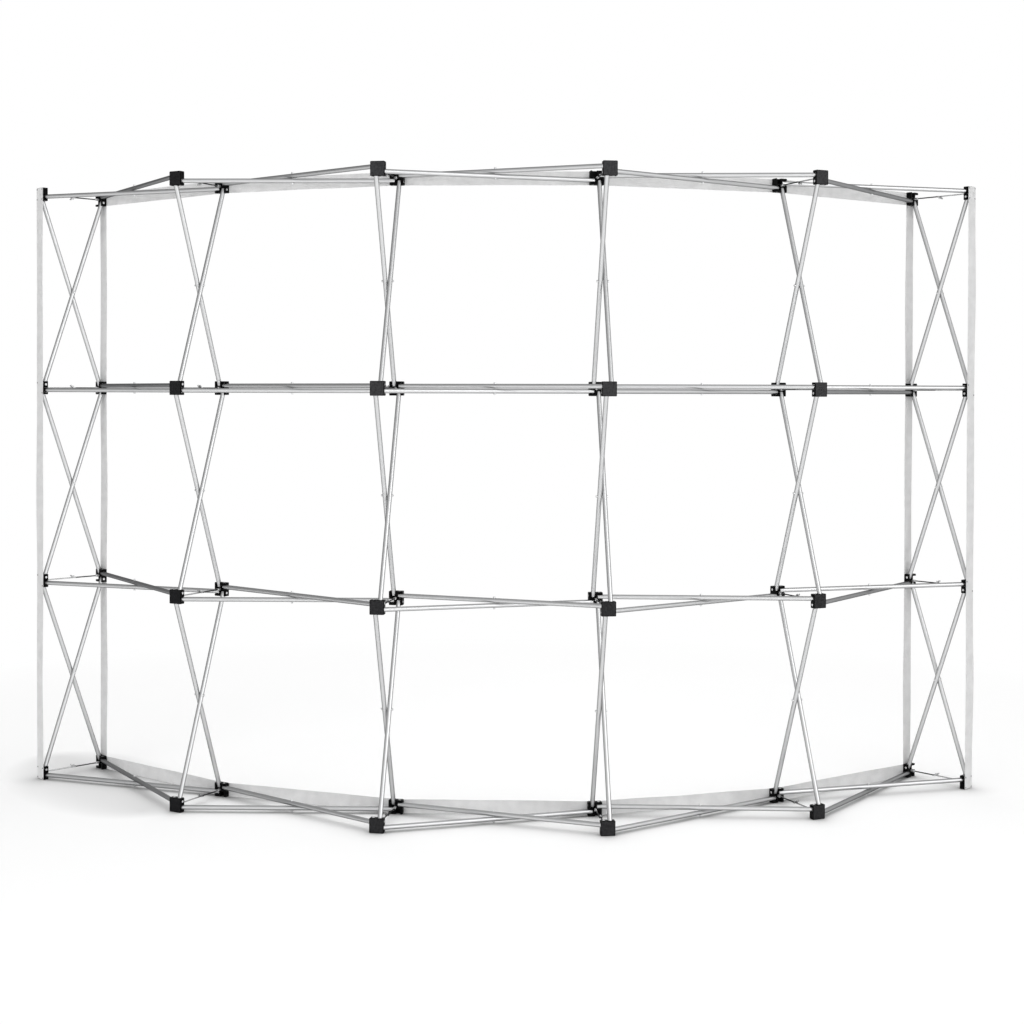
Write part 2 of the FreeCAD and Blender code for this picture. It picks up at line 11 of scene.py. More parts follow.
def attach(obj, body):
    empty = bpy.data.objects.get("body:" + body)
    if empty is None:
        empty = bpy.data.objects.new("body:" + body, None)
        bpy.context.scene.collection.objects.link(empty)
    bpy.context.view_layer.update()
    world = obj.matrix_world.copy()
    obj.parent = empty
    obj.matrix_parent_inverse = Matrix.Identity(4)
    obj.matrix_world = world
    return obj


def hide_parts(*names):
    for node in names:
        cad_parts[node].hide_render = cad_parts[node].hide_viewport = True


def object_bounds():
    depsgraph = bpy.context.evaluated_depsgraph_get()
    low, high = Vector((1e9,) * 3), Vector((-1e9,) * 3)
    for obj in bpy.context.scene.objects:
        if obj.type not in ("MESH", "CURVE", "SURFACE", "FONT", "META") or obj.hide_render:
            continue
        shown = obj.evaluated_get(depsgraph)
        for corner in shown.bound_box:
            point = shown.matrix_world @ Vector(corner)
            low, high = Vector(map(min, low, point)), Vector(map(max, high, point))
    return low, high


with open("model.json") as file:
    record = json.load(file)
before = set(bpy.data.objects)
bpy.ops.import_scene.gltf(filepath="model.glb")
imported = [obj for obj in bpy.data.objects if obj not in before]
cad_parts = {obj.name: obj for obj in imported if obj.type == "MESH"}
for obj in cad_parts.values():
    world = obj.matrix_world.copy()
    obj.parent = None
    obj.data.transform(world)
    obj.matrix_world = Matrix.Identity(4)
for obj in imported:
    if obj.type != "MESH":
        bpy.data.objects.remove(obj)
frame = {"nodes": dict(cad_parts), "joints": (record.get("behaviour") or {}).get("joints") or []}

bl_info = {
    "name": "Curved banner wall",
    "version": (1, 0, 0),
    "blender": (4, 5, 0),
    "location": "View3D > Sidebar > Banner wall",
    "description": "Dresses the frame of a curved banner wall: hubs, tubes, locks, hook pads and tape strips",
    "category": "Object",
}

CAD_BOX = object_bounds()
ROWS = ("bottom", "lower", "upper", "top")
TOP_ROW = len(ROWS) - 1
COLUMNS = 6
QUARTER = math.pi / 2
UP = Vector((0, 0, 1))

# Angles past which faces meet in a sharp edge, by kind of piece
ARM_CREASE = math.radians(32)
PIN_CREASE = math.radians(35)
MOULDED_CREASE = math.radians(40)
TAPE_CREASE = math.radians(45)
ROUND_CREASE = math.radians(50)
THREAD_CREASE = math.radians(60)


# The lattice as the frame gives it: columns on an arc about a standing axis, rows at even heights

JOINTS = {joint["name"]: joint for joint in frame["joints"]}


def pivot(column, row):
    """The pivot of a lock arm."""
    return Vector(JOINTS["lock_c%d_%s" % (column + 1, ROWS[row])]["pos_m"])


def column_angle(column):
    """How far a column is turned round the arc from the wall's middle."""
    hinge = Vector(JOINTS["lock_c%d_top" % (column + 1)]["axis"])
    return math.atan2(hinge.y, hinge.x)


def outward(angle):
    """The level direction from the arc's axis at an angle from the wall's middle."""
    return Vector((math.sin(angle), -math.cos(angle), 0))


def along(angle):
    """The level direction along the wall at an angle from its middle."""
    return Vector((math.cos(angle), math.sin(angle), 0))


BAY_ANGLE = column_angle(1) - column_angle(0)
FIRST_ROW = pivot(0, 0).z
ROW_PITCH = pivot(0, 1).z - FIRST_ROW
WALL_HEIGHT = FIRST_ROW * 2 + ROW_PITCH * TOP_ROW
PIVOT_RADIUS = (pivot(1, 0) - pivot(0, 0)).length / 2 / math.sin(BAY_ANGLE / 2)
ARC_AXIS = pivot(0, 0) - outward(column_angle(0)) * PIVOT_RADIUS - UP * FIRST_ROW
# The lowest hubs stand on the floor
HALF_HUB = FIRST_ROW


def depth_range(node, column):
    """The least and greatest distance from the arc's axis to a node, square to a column."""
    facing = outward(column_angle(column))
    depths = [(vertex.co - ARC_AXIS).dot(facing) for vertex in frame["nodes"][node].data.vertices]
    return min(depths), max(depths)


REAR_BACK, REAR_FACE = depth_range("rear_hubs_c1", 0)
FRONT_FACE, FRONT_BACK = depth_range("front_hubs_c1", 0)
HUB_DEPTH = REAR_FACE - REAR_BACK


def arc_point(angle, radius, height=0.0):
    """A point given by its angle and distance from the arc's axis."""
    return outward(angle) * radius + UP * height


def axes(*directions):
    """The turn that carries X, Y and Z to three directions."""
    return Matrix(directions).transposed().to_4x4()


def hub_frame(layer, angle=0.0, height=0.0):
    """A hub's own axes about the arc's axis: X level, Y up and Z out of its face."""
    side, face = (1, REAR_FACE) if layer == "rear" else (-1, FRONT_FACE)
    origin = arc_point(angle, face, height)
    return Matrix.Translation(origin) @ axes(along(angle) * side, UP, outward(angle) * side)


# What a user would change

def a_length(label, text, default):
    """A length in metres."""
    return FloatProperty(name=label, description=text, default=default, unit="LENGTH")


def an_angle(label, text, default):
    """An angle in radians."""
    return FloatProperty(name=label, description=text, default=default, subtype="ANGLE", unit="ROTATION")


def a_number(label, text, default):
    """A plain number."""
    return FloatProperty(name=label, description=text, default=default)


def a_place(label, text, default):
    """A point in metres."""
    return FloatVectorProperty(name=label, description=text, default=default, size=3, subtype="XYZ",
                               unit="LENGTH")


def a_colour(label, text, default):
    """A colour."""
    return FloatVectorProperty(name=label, description=text, default=default, size=3, subtype="COLOR")


class HubSizes(bpy.types.PropertyGroup):
    """Sizes of the corner hubs and of what sits on them."""
    corner_radius: a_length("Corner radius", "Rounding of the hub's four corners", 0.003)
    plate: a_length("Plate", "Thickness of the hub's outer plate", 0.0035)
    slot_clearance: a_length("Slot clearance", "Room round a tube in its slot", 0.0005)
    centre_web: a_length("Centre web", "Half the width of the solid middle", 0.0047)
    socket_diameter: a_length("Socket", "Diameter of the lock's socket", 0.0052)
    socket_depth: a_length("Socket depth", "Depth of the lock's socket", 0.012)
    edge_bevel: a_length("Edge bevel", "Softening of the moulding's edges", 0.0005)
    pad_side: a_length("Pad side", "Side of the square hook pads", 0.046)
    pad_thickness: a_length("Pad thickness", "Thickness of the hook pads, hooks included", 0.002)
    hook_pitch: a_length("Hook pitch", "Spacing of the hooks on a pad", 0.002)
    pin_diameter: a_length("Pin", "Diameter of the pins that hold the tubes", 0.004)
    pin_depth_in_web: a_length("Pin seat", "How far a pin enters the hub's middle", 0.0035)
    head_diameter: a_length("Pin head", "Diameter of a pin's head", 0.0084)
    head_height: a_length("Head height", "Height of a pin's head, flush in the hub's side", 0.0012)
    head_clearance: a_length("Head clearance", "Room round a pin's head in its seat", 0.0001)


class TubeSizes(bpy.types.PropertyGroup):
    """Sizes of the crossed tubes and their rivets."""
    diameter: a_length("Diameter", "Outer diameter of the tubes", 0.016)
    wall: a_length("Wall", "Wall thickness of the tubes", 0.001)
    spacing: a_length("Spacing", "Between the middles of two crossed tubes", 0.0172)
    pin_reach: a_length("Pin reach", "From a hub's middle to a tube's end pin", 0.013)
    sides: IntProperty(name="Sides", description="Faces round a tube", default=32)
    stud_diameter: a_length("Stud", "Diameter of a rivet's studs", 0.008)
    stud_height: a_length("Stud height", "How far a stud stands off its tube", 0.005)


class LockSizes(bpy.types.PropertyGroup):
    """Sizes of the locks between the front and rear hubs."""
    ferrule_diameter: a_length("Ferrule", "Diameter of the forked ferrule", 0.009)
    ferrule_length: a_length("Ferrule length", "How far the ferrule stands off its hub", 0.015)
    fork_gap: a_length("Fork gap", "Width of the ferrule's fork", 0.0032)
    eye_diameter: a_length("Eye", "Diameter of the arm's eye", 0.008)
    arm_pin_diameter: a_length("Arm pin", "Diameter of the arm's pivot pin", 0.003)
    rod_diameter: a_length("Rod", "Diameter of the lock rods", 0.0045)
    catch_rise: a_length("Hook radius", "Radius of the catch rod's hook at its middle", 0.00425)
    hook_turn: an_angle("Hook turn", "How far the hook bends round", math.radians(70))
    hook_tip: a_length("Hook tip", "Straight end of the hook", 0.006)


class StripSizes(bpy.types.PropertyGroup):
    """Sizes of the strips of loop tape."""
    width: a_length("Width", "Width of the strips", 0.048)
    thickness: a_length("Thickness", "Thickness of the strips", 0.0012)
    slack: a_length("Slack", "How far a free edge leans out half way between hubs", 0.012)
    sway: a_length("Sway", "How far an upright strip bows sideways between hubs", 0.003)
    rivet_diameter: a_length("Rivet", "Diameter of the rivet heads", 0.005)
    rivet_height: a_length("Rivet height", "Height of the rivet heads", 0.0012)
    rivet_inset: a_length("Rivet inset", "From a hub's edge to a rivet", 0.006)
    stitch_pitch: a_length("Stitch pitch", "Spacing of the stitches", 0.0045)
    stitch_inset: a_length("Stitch inset", "From a strip's edge to its seam", 0.0035)


class WallColours(bpy.types.PropertyGroup):
    """Colours of the wall and its stage."""
    hub: a_colour("Hubs", "Moulded plastic", (0.0022, 0.0022, 0.0024))
    pad: a_colour("Hook pads", "Hook fabric", (0.008, 0.008, 0.009))
    # The colour of the painted highlight on the hook pads
    pad_highlight: a_colour("Highlight", "Lint caught in the hook fabric", (0.058, 0.058, 0.060))
    tube: a_colour("Tubes", "Satin aluminium", (0.82, 0.825, 0.83))
    steel: a_colour("Steel", "Pins, rivets and locks", (0.90, 0.905, 0.91))
    strip_rivet: a_colour("Strip rivets", "Blackened rivets of the strips", (0.16, 0.16, 0.165))
    tape: a_colour("Tape", "Loop tape", (0.77, 0.77, 0.77))
    thread: a_colour("Thread", "Sewing thread", (0.84, 0.84, 0.83))
    floor: a_colour("Floor", "Studio floor", (0.95, 0.95, 0.95))


class StageSettings(bpy.types.PropertyGroup):
    """Camera and light of the studio."""
    camera_place: a_place("Camera", "Where the camera stands", (0.23286, -5.78855, 1.48542))
    camera_yaw: an_angle("Yaw", "Turn of the camera to the left", 0.0317)
    camera_pitch: an_angle("Pitch", "Tilt of the camera, up is positive", -0.0133)
    camera_roll: an_angle("Roll", "Roll of the camera", 0.0027)
    focal_length: a_number("Focal length", "Lens in millimetres on a 36 mm sensor", 56.25)
    lens_shift: a_number("Lens shift", "Upright shift of the lens, as a share of the frame", -0.0969)
    ambient: a_number("Ambient", "Strength of the light from all round", 0.36)
    contact_reach: a_length("Contact reach", "How far the floor is shaded round the wall's feet", 0.12)
    contact_depth: a_number("Contact depth", "How dark the floor's contact shade is", 0.95)
    shade_start: a_place("Soft shade start", "Where the floor's soft shade starts", (-1.8, 0.62, 0.0))
    shade_end: a_place("Soft shade end", "Where the floor's soft shade ends", (-1.25, -0.2, 0.0))
    shade_spread: a_number("Soft shade spread", "Width of the soft shade, where 1 is a bare line", 1.2)
    shade_depth: a_number("Soft shade depth", "How dark the soft shade is", 0.22)
    overhead: a_number("Overhead", "How bright the studio's ceiling looks in the metal", 0.62)
    left_side: a_number("Left side", "How bright the studio's left side looks in the metal", 0.47)
    floor_lift: a_number("Floor lift", "What the floor shows above its lit colour", 0.03)


def sizes(group):
    """One of the wall's property groups."""
    return getattr(bpy.context.scene, "wall_" + group)


# Mesh helpers

def to_mesh(bm, name):
    """A mesh from a bmesh, which is freed."""
    mesh = bpy.data.meshes.new(name)
    bm.to_mesh(mesh)
    bm.free()
    return mesh


def shaded(mesh, crease):
    """Smooth shading, kept sharp where faces meet at more than an angle."""
    mesh.shade_smooth()
    mesh.set_sharp_from_angle(angle=crease)
    return mesh


def new_object(data, name="passing"):
    """A new object in the scene for a mesh, a curve, a lamp or a camera."""
    obj = bpy.data.objects.new(name, data)
    bpy.context.scene.collection.objects.link(obj)
    return obj


def baked(obj):
    """What an object's modifiers make of it, as a plain mesh; the object goes."""
    bpy.context.view_layer.update()
    graph = bpy.context.evaluated_depsgraph_get()
    mesh = bpy.data.meshes.new_from_object(obj.evaluated_get(graph), preserve_all_data_layers=True,
                                           depsgraph=graph)
    bpy.data.objects.remove(obj)
    return mesh


def joined(parts):
    """Several meshes as one, each moved by its own matrix."""
    bm = bmesh.new()
    for mesh, matrix in parts:
        copy = mesh.copy()
        copy.transform(matrix)
        bm.from_mesh(copy)
        bpy.data.meshes.remove(copy)
    return to_mesh(bm, "joined")


def merged(*meshes):
    """Several meshes as one, each where it is."""
    return joined([(mesh, Matrix()) for mesh in meshes])


def skinned(rings):
    """A closed skin over rings of points: a ring of one point is a tip, and any other at an end is capped."""
    bm = bmesh.new()
    loops = [[bm.verts.new(point) for point in ring] for ring in rings]
    for lower, upper in zip(loops, loops[1:]):
        sides = max(len(lower), len(upper))
        for k in range(sides):
            after = (k + 1) % sides
            corners = [lower[k % len(lower)], lower[after % len(lower)],
                       upper[after % len(upper)], upper[k % len(upper)]]
            bm.faces.new(list(dict.fromkeys(corners)))
    for end in (loops[0], loops[-1]):
        if len(end) > 1:
            bm.faces.new(end)
    bmesh.ops.recalc_face_normals(bm, faces=bm.faces)
    return to_mesh(bm, "skin")


def block(low, high):
    """A box between two corners."""
    corners = ((low[0], low[1]), (high[0], low[1]), (high[0], high[1]), (low[0], high[1]))
    return skinned([[(x, y, z) for x, y in corners] for z in (low[2], high[2])])


def turned(profile, sides=24):
    """A piece turned about Z from pairs of radius and height, closed on the axis at both ends."""
    rings = []
    for radius, height in profile:
        count = sides if radius else 1
        angles = [2 * math.pi * k / count for k in range(count)]
        rings.append([(radius * math.cos(a), radius * math.sin(a), height) for a in angles])
    return skinned(rings)


def plain_pin(radius, low, high, bevel):
    """A pin along Z with softened ends."""
    return turned([(0, low), (radius - bevel, low), (radius, low + bevel), (radius, high - bevel),
                   (radius - bevel, high), (0, high)], sides=20)


def cut_from(mesh, cutters):
    """A mesh less several others."""
    base = new_object(mesh)
    tool = new_object(joined(cutters))
    cut = base.modifiers.new("Cut", "BOOLEAN")
    cut.operation = "DIFFERENCE"
    cut.solver = "EXACT"
    cut.use_self = True
    cut.object = tool
    result = baked(base)
    bpy.data.objects.remove(tool)
    return result


def bevelled(mesh, width):
    """A mesh with its sharp edges softened."""
    obj = new_object(mesh)
    bevel = obj.modifiers.new("Soft edges", "BEVEL")
    bevel.width = width
    bevel.segments = 2
    bevel.limit_method = "ANGLE"
    bevel.angle_limit = PIN_CREASE
    return shaded(baked(obj), MOULDED_CREASE)


def finished(name, mesh, material, nodes=(), body="frame"):
    """A finished piece: it rides on a body, stands for CAD nodes and takes its finish from a slot."""
    mesh.name = name
    mesh.materials.clear()
    mesh.materials.append(material)
    piece = new_object(mesh, name)
    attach(piece, body)
    if nodes:
        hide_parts(*nodes)


# Node helpers

def shared(collection, name):
    """Makes a material or a node group at the first call, and finds it by its name after that."""
    def wrap(make):
        @functools.wraps(make)
        def found():
            return getattr(bpy.data, collection).get(name) or make(name)
        return found
    return wrap


def put(tree, node, inputs):
    """A node with its inputs linked to sockets or set to values; an input goes by its name or number."""
    for key, value in inputs.items():
        if isinstance(value, bpy.types.NodeSocket):
            tree.links.new(value, node.inputs[key])
        else:
            node.inputs[key].default_value = value
    return node


def add(tree, kind, inputs=None, **settings):
    """A new node with some of its settings and inputs."""
    node = tree.nodes.new(kind)
    for key, value in settings.items():
        setattr(node, key, value)
    return put(tree, node, inputs or {})


def math_node(tree, operation, *values):
    """The output of a math node; its inputs are sockets or numbers."""
    return add(tree, "ShaderNodeMath", dict(enumerate(values)), operation=operation).outputs[0]


def new_sockets(tree, in_out, sockets):
    """Sockets of a node group, given as (name, type, default)."""
    for label, kind, default in sockets:
        socket = tree.interface.new_socket(label, in_out=in_out, socket_type="NodeSocket" + kind)
        if default is not None:
            socket.default_value = default


# Geometry node trees

def new_tree(name, inputs):
    """An empty geometry tree with named inputs, and what those inputs put in."""
    tree = bpy.data.node_groups.new(name, "GeometryNodeTree")
    new_sockets(tree, "INPUT", (("Geometry", "Geometry", None), *inputs, ("Material", "Material", None)))
    new_sockets(tree, "OUTPUT", (("Geometry", "Geometry", None),))
    tree.is_modifier = True
    return tree, add(tree, "NodeGroupInput").outputs


def object_shape(tree, source):
    """The shape of an object that a tree is given."""
    node = add(tree, "GeometryNodeObjectInfo", {"Object": source}, transform_space="ORIGINAL")
    return node.outputs["Geometry"]


def finish_tree(tree, points, master, turn, material):
    """The last nodes of a tree: a master copied to points, as plain geometry with its material."""
    copies = add(tree, "GeometryNodeInstanceOnPoints",
                 {"Points": points, "Instance": object_shape(tree, master), "Rotation": turn})
    real = add(tree, "GeometryNodeRealizeInstances", {"Geometry": copies.outputs[0]})
    painted = add(tree, "GeometryNodeSetMaterial", {"Geometry": real.outputs[0], "Material": material})
    add(tree, "NodeGroupOutput", {0: painted.outputs[0]})
    return tree


def run_tree(tree, values):
    """The mesh that a tree makes with these values."""
    obj = new_object(bpy.data.meshes.new(tree.name), tree.name)
    modifier = obj.modifiers.new(tree.name, "NODES")
    modifier.node_group = tree
    for item in tree.interface.items_tree:
        if item.in_out == "INPUT" and item.name in values:
            modifier[item.identifier] = values[item.name]
    mesh = baked(obj)
    if not mesh.vertices:
        raise RuntimeError(tree.name + " came out empty")
    return mesh


@shared("node_groups", "Lattice places")
def lattice_tree(name):
    """Places a master all over the lattice: columns turned round the arc's axis, rows lifted by the pitch."""
    tree, given = new_tree(name, (
        ("Master", "Object", None), ("Columns", "Int", COLUMNS), ("Rows", "Int", len(ROWS)),
        ("Bay Angle", "Float", BAY_ANGLE), ("Row Pitch", "Float", ROW_PITCH),
        ("First Height", "Float", FIRST_ROW), ("Arc Axis", "Vector", tuple(ARC_AXIS))))
    index = add(tree, "GeometryNodeInputIndex").outputs[0]
    column = math_node(tree, "MODULO", index, given["Columns"])
    row = math_node(tree, "FLOOR", math_node(tree, "DIVIDE", index, given["Columns"]))
    middle = math_node(tree, "DIVIDE", math_node(tree, "SUBTRACT", given["Columns"], 1.0), 2.0)
    angle = math_node(tree, "MULTIPLY", math_node(tree, "SUBTRACT", column, middle), given["Bay Angle"])
    rise = math_node(tree, "MULTIPLY", row, given["Row Pitch"])
    lift = add(tree, "ShaderNodeCombineXYZ", {"Z": math_node(tree, "ADD", rise, given["First Height"])})
    place = add(tree, "ShaderNodeVectorMath", {0: given["Arc Axis"], 1: lift.outputs[0]}, operation="ADD")
    euler = add(tree, "ShaderNodeCombineXYZ", {"Z": angle})
    turn = add(tree, "FunctionNodeEulerToRotation", {0: euler.outputs[0]})
    count = math_node(tree, "MULTIPLY", given["Columns"], given["Rows"])
    points = add(tree, "GeometryNodePoints", {"Count": count, "Position": place.outputs[0]})
    return finish_tree(tree, points.outputs[0], given["Master"], turn.outputs[0], given["Material"])


def spread(parts, material, columns=COLUMNS, rows=len(ROWS), first_row=0):
    """Meshes placed about the arc's axis, joined as one master and copied all over the lattice."""
    master = new_object(joined(parts), "master")
    result = run_tree(lattice_tree(), {
        "Master": master, "Columns": columns, "Rows": rows, "First Height": FIRST_ROW + ROW_PITCH * first_row,
        "Material": material})
    bpy.data.objects.remove(master)
    return result


HOOK_LEAN = Vector((0.12, 0.12, 0.5))


@shared("node_groups", "Hook field")
def hook_tree(name):
    """A field of small hooks on a square pad, each turned a little at random."""
    tree, given = new_tree(name, (("Hook", "Object", None), ("Side", "Float", 0.04), ("Count", "Int", 20),
                                  ("Base Height", "Float", 0.001), ("Seed", "Int", 3)))
    grid = add(tree, "GeometryNodeMeshGrid", {"Size X": given["Side"], "Size Y": given["Side"],
                                              "Vertices X": given["Count"], "Vertices Y": given["Count"]})
    lift = add(tree, "ShaderNodeCombineXYZ", {"Z": given["Base Height"]})
    raised = add(tree, "GeometryNodeSetPosition",
                 {"Geometry": grid.outputs["Mesh"], "Offset": lift.outputs[0]})
    lean = add(tree, "FunctionNodeRandomValue", {0: -HOOK_LEAN, 1: HOOK_LEAN, "Seed": given["Seed"]},
               data_type="FLOAT_VECTOR")
    turn = add(tree, "FunctionNodeEulerToRotation", {0: lean.outputs["Value"]})
    return finish_tree(tree, raised.outputs[0], given["Hook"], turn.outputs[0], given["Material"])


@shared("node_groups", "Seam")
def seam_tree(name):
    """A row of stitches along each line of a path, laid in the direction of the line."""
    tree, given = new_tree(name, (("Path", "Object", None), ("Stitch", "Object", None),
                                  ("Pitch", "Float", 0.0045)))
    line = add(tree, "GeometryNodeMeshToCurve", {"Mesh": object_shape(tree, given["Path"])})
    even = add(tree, "GeometryNodeResampleCurve", {"Curve": line.outputs[0], "Length": given["Pitch"]},
               mode="LENGTH")
    tangent = add(tree, "GeometryNodeInputTangent")
    turn = add(tree, "FunctionNodeAlignRotationToVector", {"Vector": tangent.outputs[0]}, axis="X")
    return finish_tree(tree, even.outputs[0], given["Stitch"], turn.outputs[0], given["Material"])


# Shared effects of the materials

# The range that most of a noise texture falls in
SPECKLE = (0.3, 0.7)
UPPER_SPECKLE = (0.35, 0.7)


def shader_group(name, inputs, outputs):
    """An empty shader group with named values going in and out."""
    tree = bpy.data.node_groups.new(name, "ShaderNodeTree")
    new_sockets(tree, "INPUT", [(label, "Float", default) for label, default in inputs])
    new_sockets(tree, "OUTPUT", [(label, "Float", None) for label in outputs])
    return tree, add(tree, "NodeGroupInput").outputs, add(tree, "NodeGroupOutput")


def clouds(tree, place, scale, detail):
    """Noise over a surface."""
    return add(tree, "ShaderNodeTexNoise", {"Vector": place, "Scale": scale, "Detail": detail}).outputs[0]


def own_place(tree):
    """A piece's own coordinates."""
    return add(tree, "ShaderNodeTexCoord").outputs["Object"]


def split(tree, vector):
    """The X, Y and Z of a vector."""
    return add(tree, "ShaderNodeSeparateXYZ", {0: vector}).outputs


@shared("node_groups", "Surface grain")
def grain_group(name):
    """Fine speckle and broad smudges over a surface, from the piece's own coordinates."""
    tree, given, out = shader_group(name, (("Grain Scale", 900.0), ("Smudge Scale", 14.0)),
                                    ("Grain", "Smudge"))
    place = own_place(tree)
    put(tree, out, {"Grain": clouds(tree, place, given["Grain Scale"], detail=3.0),
                    "Smudge": clouds(tree, place, given["Smudge Scale"], detail=4.0)})
    return tree


@shared("node_groups", "Woven threads")
def weave_group(name):
    """Crossed threads over a strip, from its own flat coordinates in metres."""
    thread_height, thread_shade = 0.35, 0.12
    blotch_scale = 22.0
    tree, given, out = shader_group(name, (("Threads", 900.0), ("Fuzz Scale", 1400.0)), ("Height", "Shade"))
    flat = add(tree, "ShaderNodeUVMap", uv_map="UVMap").outputs[0]
    ways = split(tree, flat)
    waves = []
    for axis in ("X", "Y"):
        turns = math_node(tree, "MULTIPLY", ways[axis], given["Threads"])
        waves.append(math_node(tree, "SINE", math_node(tree, "MULTIPLY", turns, math.pi)))
    crossed = math_node(tree, "MULTIPLY", *waves)
    fuzz = clouds(tree, flat, given["Fuzz Scale"], detail=2.0)
    blotch = clouds(tree, flat, blotch_scale, detail=5.0)
    # Shade: a painted shade, darker in the hollows between the threads, plus random blotches of tone
    put(tree, out, {
        "Height": math_node(tree, "ADD", math_node(tree, "MULTIPLY", crossed, thread_height), fuzz),
        "Shade": math_node(tree, "ADD", math_node(tree, "MULTIPLY", crossed, thread_shade), blotch)})
    return tree


@shared("node_groups", "Drawn lines")
def drawn_group(name):
    """Fine lines along a drawn tube or rod, from its own coordinates: round, and along in metres."""
    tree, given, out = shader_group(name, (("Across", 160.0), ("Along", 3.0)), ("Lines",))
    ways = split(tree, add(tree, "ShaderNodeUVMap", uv_map="UVMap").outputs[0])
    stretched = add(tree, "ShaderNodeCombineXYZ", {
        "X": math_node(tree, "MULTIPLY", ways["X"], given["Across"]),
        "Y": math_node(tree, "MULTIPLY", ways["Y"], given["Along"])})
    put(tree, out, {"Lines": clouds(tree, stretched.outputs[0], scale=1.0, detail=4.0)})
    return tree


def place_group(tree, group, values):
    """A shared effect in a material, with this material's own values."""
    return put(tree, add(tree, "ShaderNodeGroup", node_tree=group), values).outputs


def grain_of(tree, grain_scale, smudge_scale):
    """The grain and smudges of a material, at its own scales."""
    return place_group(tree, grain_group(), {"Grain Scale": grain_scale, "Smudge Scale": smudge_scale})


def ranged(tree, source, low, high, new_low, new_high):
    """A value carried from one range to another."""
    node = add(tree, "ShaderNodeMapRange", {"Value": source, "From Min": low, "From Max": high,
                                            "To Min": new_low, "To Max": new_high})
    return node.outputs["Result"]


def two_tone(tree, mask, dark, light):
    """A colour between two by a mask."""
    mix = add(tree, "ShaderNodeMix", {"Factor": mask}, data_type="RGBA")
    for label, colour in (("A", dark), ("B", light)):
        socket = next(socket for socket in mix.inputs if socket.name == label and socket.type == "RGBA")
        socket.default_value = (*colour, 1)
    return next(socket for socket in mix.outputs if socket.type == "RGBA")


def tinted(colour, factor):
    """A colour made lighter or darker."""
    return tuple(min(1.0, part * factor) for part in colour)


def mottled(tree, mask, colour, dark, light, span=SPECKLE):
    """A colour that runs from a darker to a lighter tint with a mask."""
    return two_tone(tree, ranged(tree, mask, *span, 0.0, 1.0), tinted(colour, dark), tinted(colour, light))


def scaled(tree, colour, strength):
    """A colour made darker by a value that changes over the surface."""
    return add(tree, "ShaderNodeVectorMath", {0: colour, "Scale": strength}, operation="SCALE").outputs[0]


def painted_edge_shade(tree, colour, edge):
    """A metal's colour with painted shade where its surface turns away, as satin metal mirrors a studio."""
    falloff = 1.6
    turn = add(tree, "ShaderNodeLayerWeight", {"Blend": 0.5})
    facing = math_node(tree, "POWER", math_node(tree, "SUBTRACT", 1.0, turn.outputs["Facing"]), falloff)
    return scaled(tree, colour, ranged(tree, facing, 0.0, 1.0, edge, 1.0))


def bumped(tree, height, strength, distance):
    """A normal from a height that changes over the surface."""
    inputs = {"Strength": strength, "Distance": distance, "Height": height}
    return add(tree, "ShaderNodeBump", inputs).outputs[0]


# Materials

def new_material(name):
    """A new material, its nodes and its Principled shader."""
    material = bpy.data.materials.new(name)
    material.use_nodes = True
    tree = material.node_tree
    return material, tree, tree.nodes["Principled BSDF"]


@shared("materials", "moulded_black_nylon")
def hub_plastic(name):
    """Black moulded nylon with a fine spark-eroded texture."""
    material, tree, shader = new_material(name)
    grain = grain_of(tree, grain_scale=1600.0, smudge_scale=35.0)
    put(tree, shader, {
        "Base Color": mottled(tree, grain["Smudge"], sizes("colours").hub, dark=0.7, light=1.5,
                              span=UPPER_SPECKLE),
        "Roughness": ranged(tree, grain["Smudge"], *SPECKLE, 0.38, 0.56),
        "Specular IOR Level": 0.06,
        "Normal": bumped(tree, grain["Grain"], strength=0.25, distance=0.0002)})
    return material


@shared("materials", "black_hook_fabric")
def hook_fabric(name):
    """Black hook pad: matt base and fine plastic hooks, with a painted highlight to the right and higher up.
    """
    # Between these places along X the pads' painted highlight grows
    highlight_from, highlight_to = -0.8, -0.3
    material, tree, shader = new_material(name)
    colours = sizes("colours")
    grain = grain_of(tree, grain_scale=1100.0, smudge_scale=60.0)
    broad = grain_of(tree, grain_scale=170.0, smudge_scale=6.0)
    ways = split(tree, own_place(tree))
    # Painted highlight: lighter to the right and higher up, where the studio's light catches the pads, broken
    # into patches by noise
    toward_light = math_node(tree, "MULTIPLY", ranged(tree, ways["X"], highlight_from, highlight_to, 0.14, 0.64),
                        ranged(tree, ways["Z"], ROW_PITCH, ROW_PITCH * 2, 0.85, 1.7))
    highlight_patches = math_node(tree, "MULTIPLY", toward_light, ranged(tree, broad["Grain"], *UPPER_SPECKLE, 0.6, 1.4))
    pad_highlight = math_node(tree, "MULTIPLY", highlight_patches, ranged(tree, grain["Grain"], *SPECKLE, 0.5, 1.3))
    put(tree, shader, {
        "Base Color": two_tone(tree, pad_highlight, colours.pad, colours.pad_highlight),
        "Roughness": ranged(tree, grain["Smudge"], *SPECKLE, 0.7, 0.9),
        "Specular IOR Level": 0.12,
        "Normal": bumped(tree, grain["Grain"], strength=0.4, distance=0.0004)})
    return material


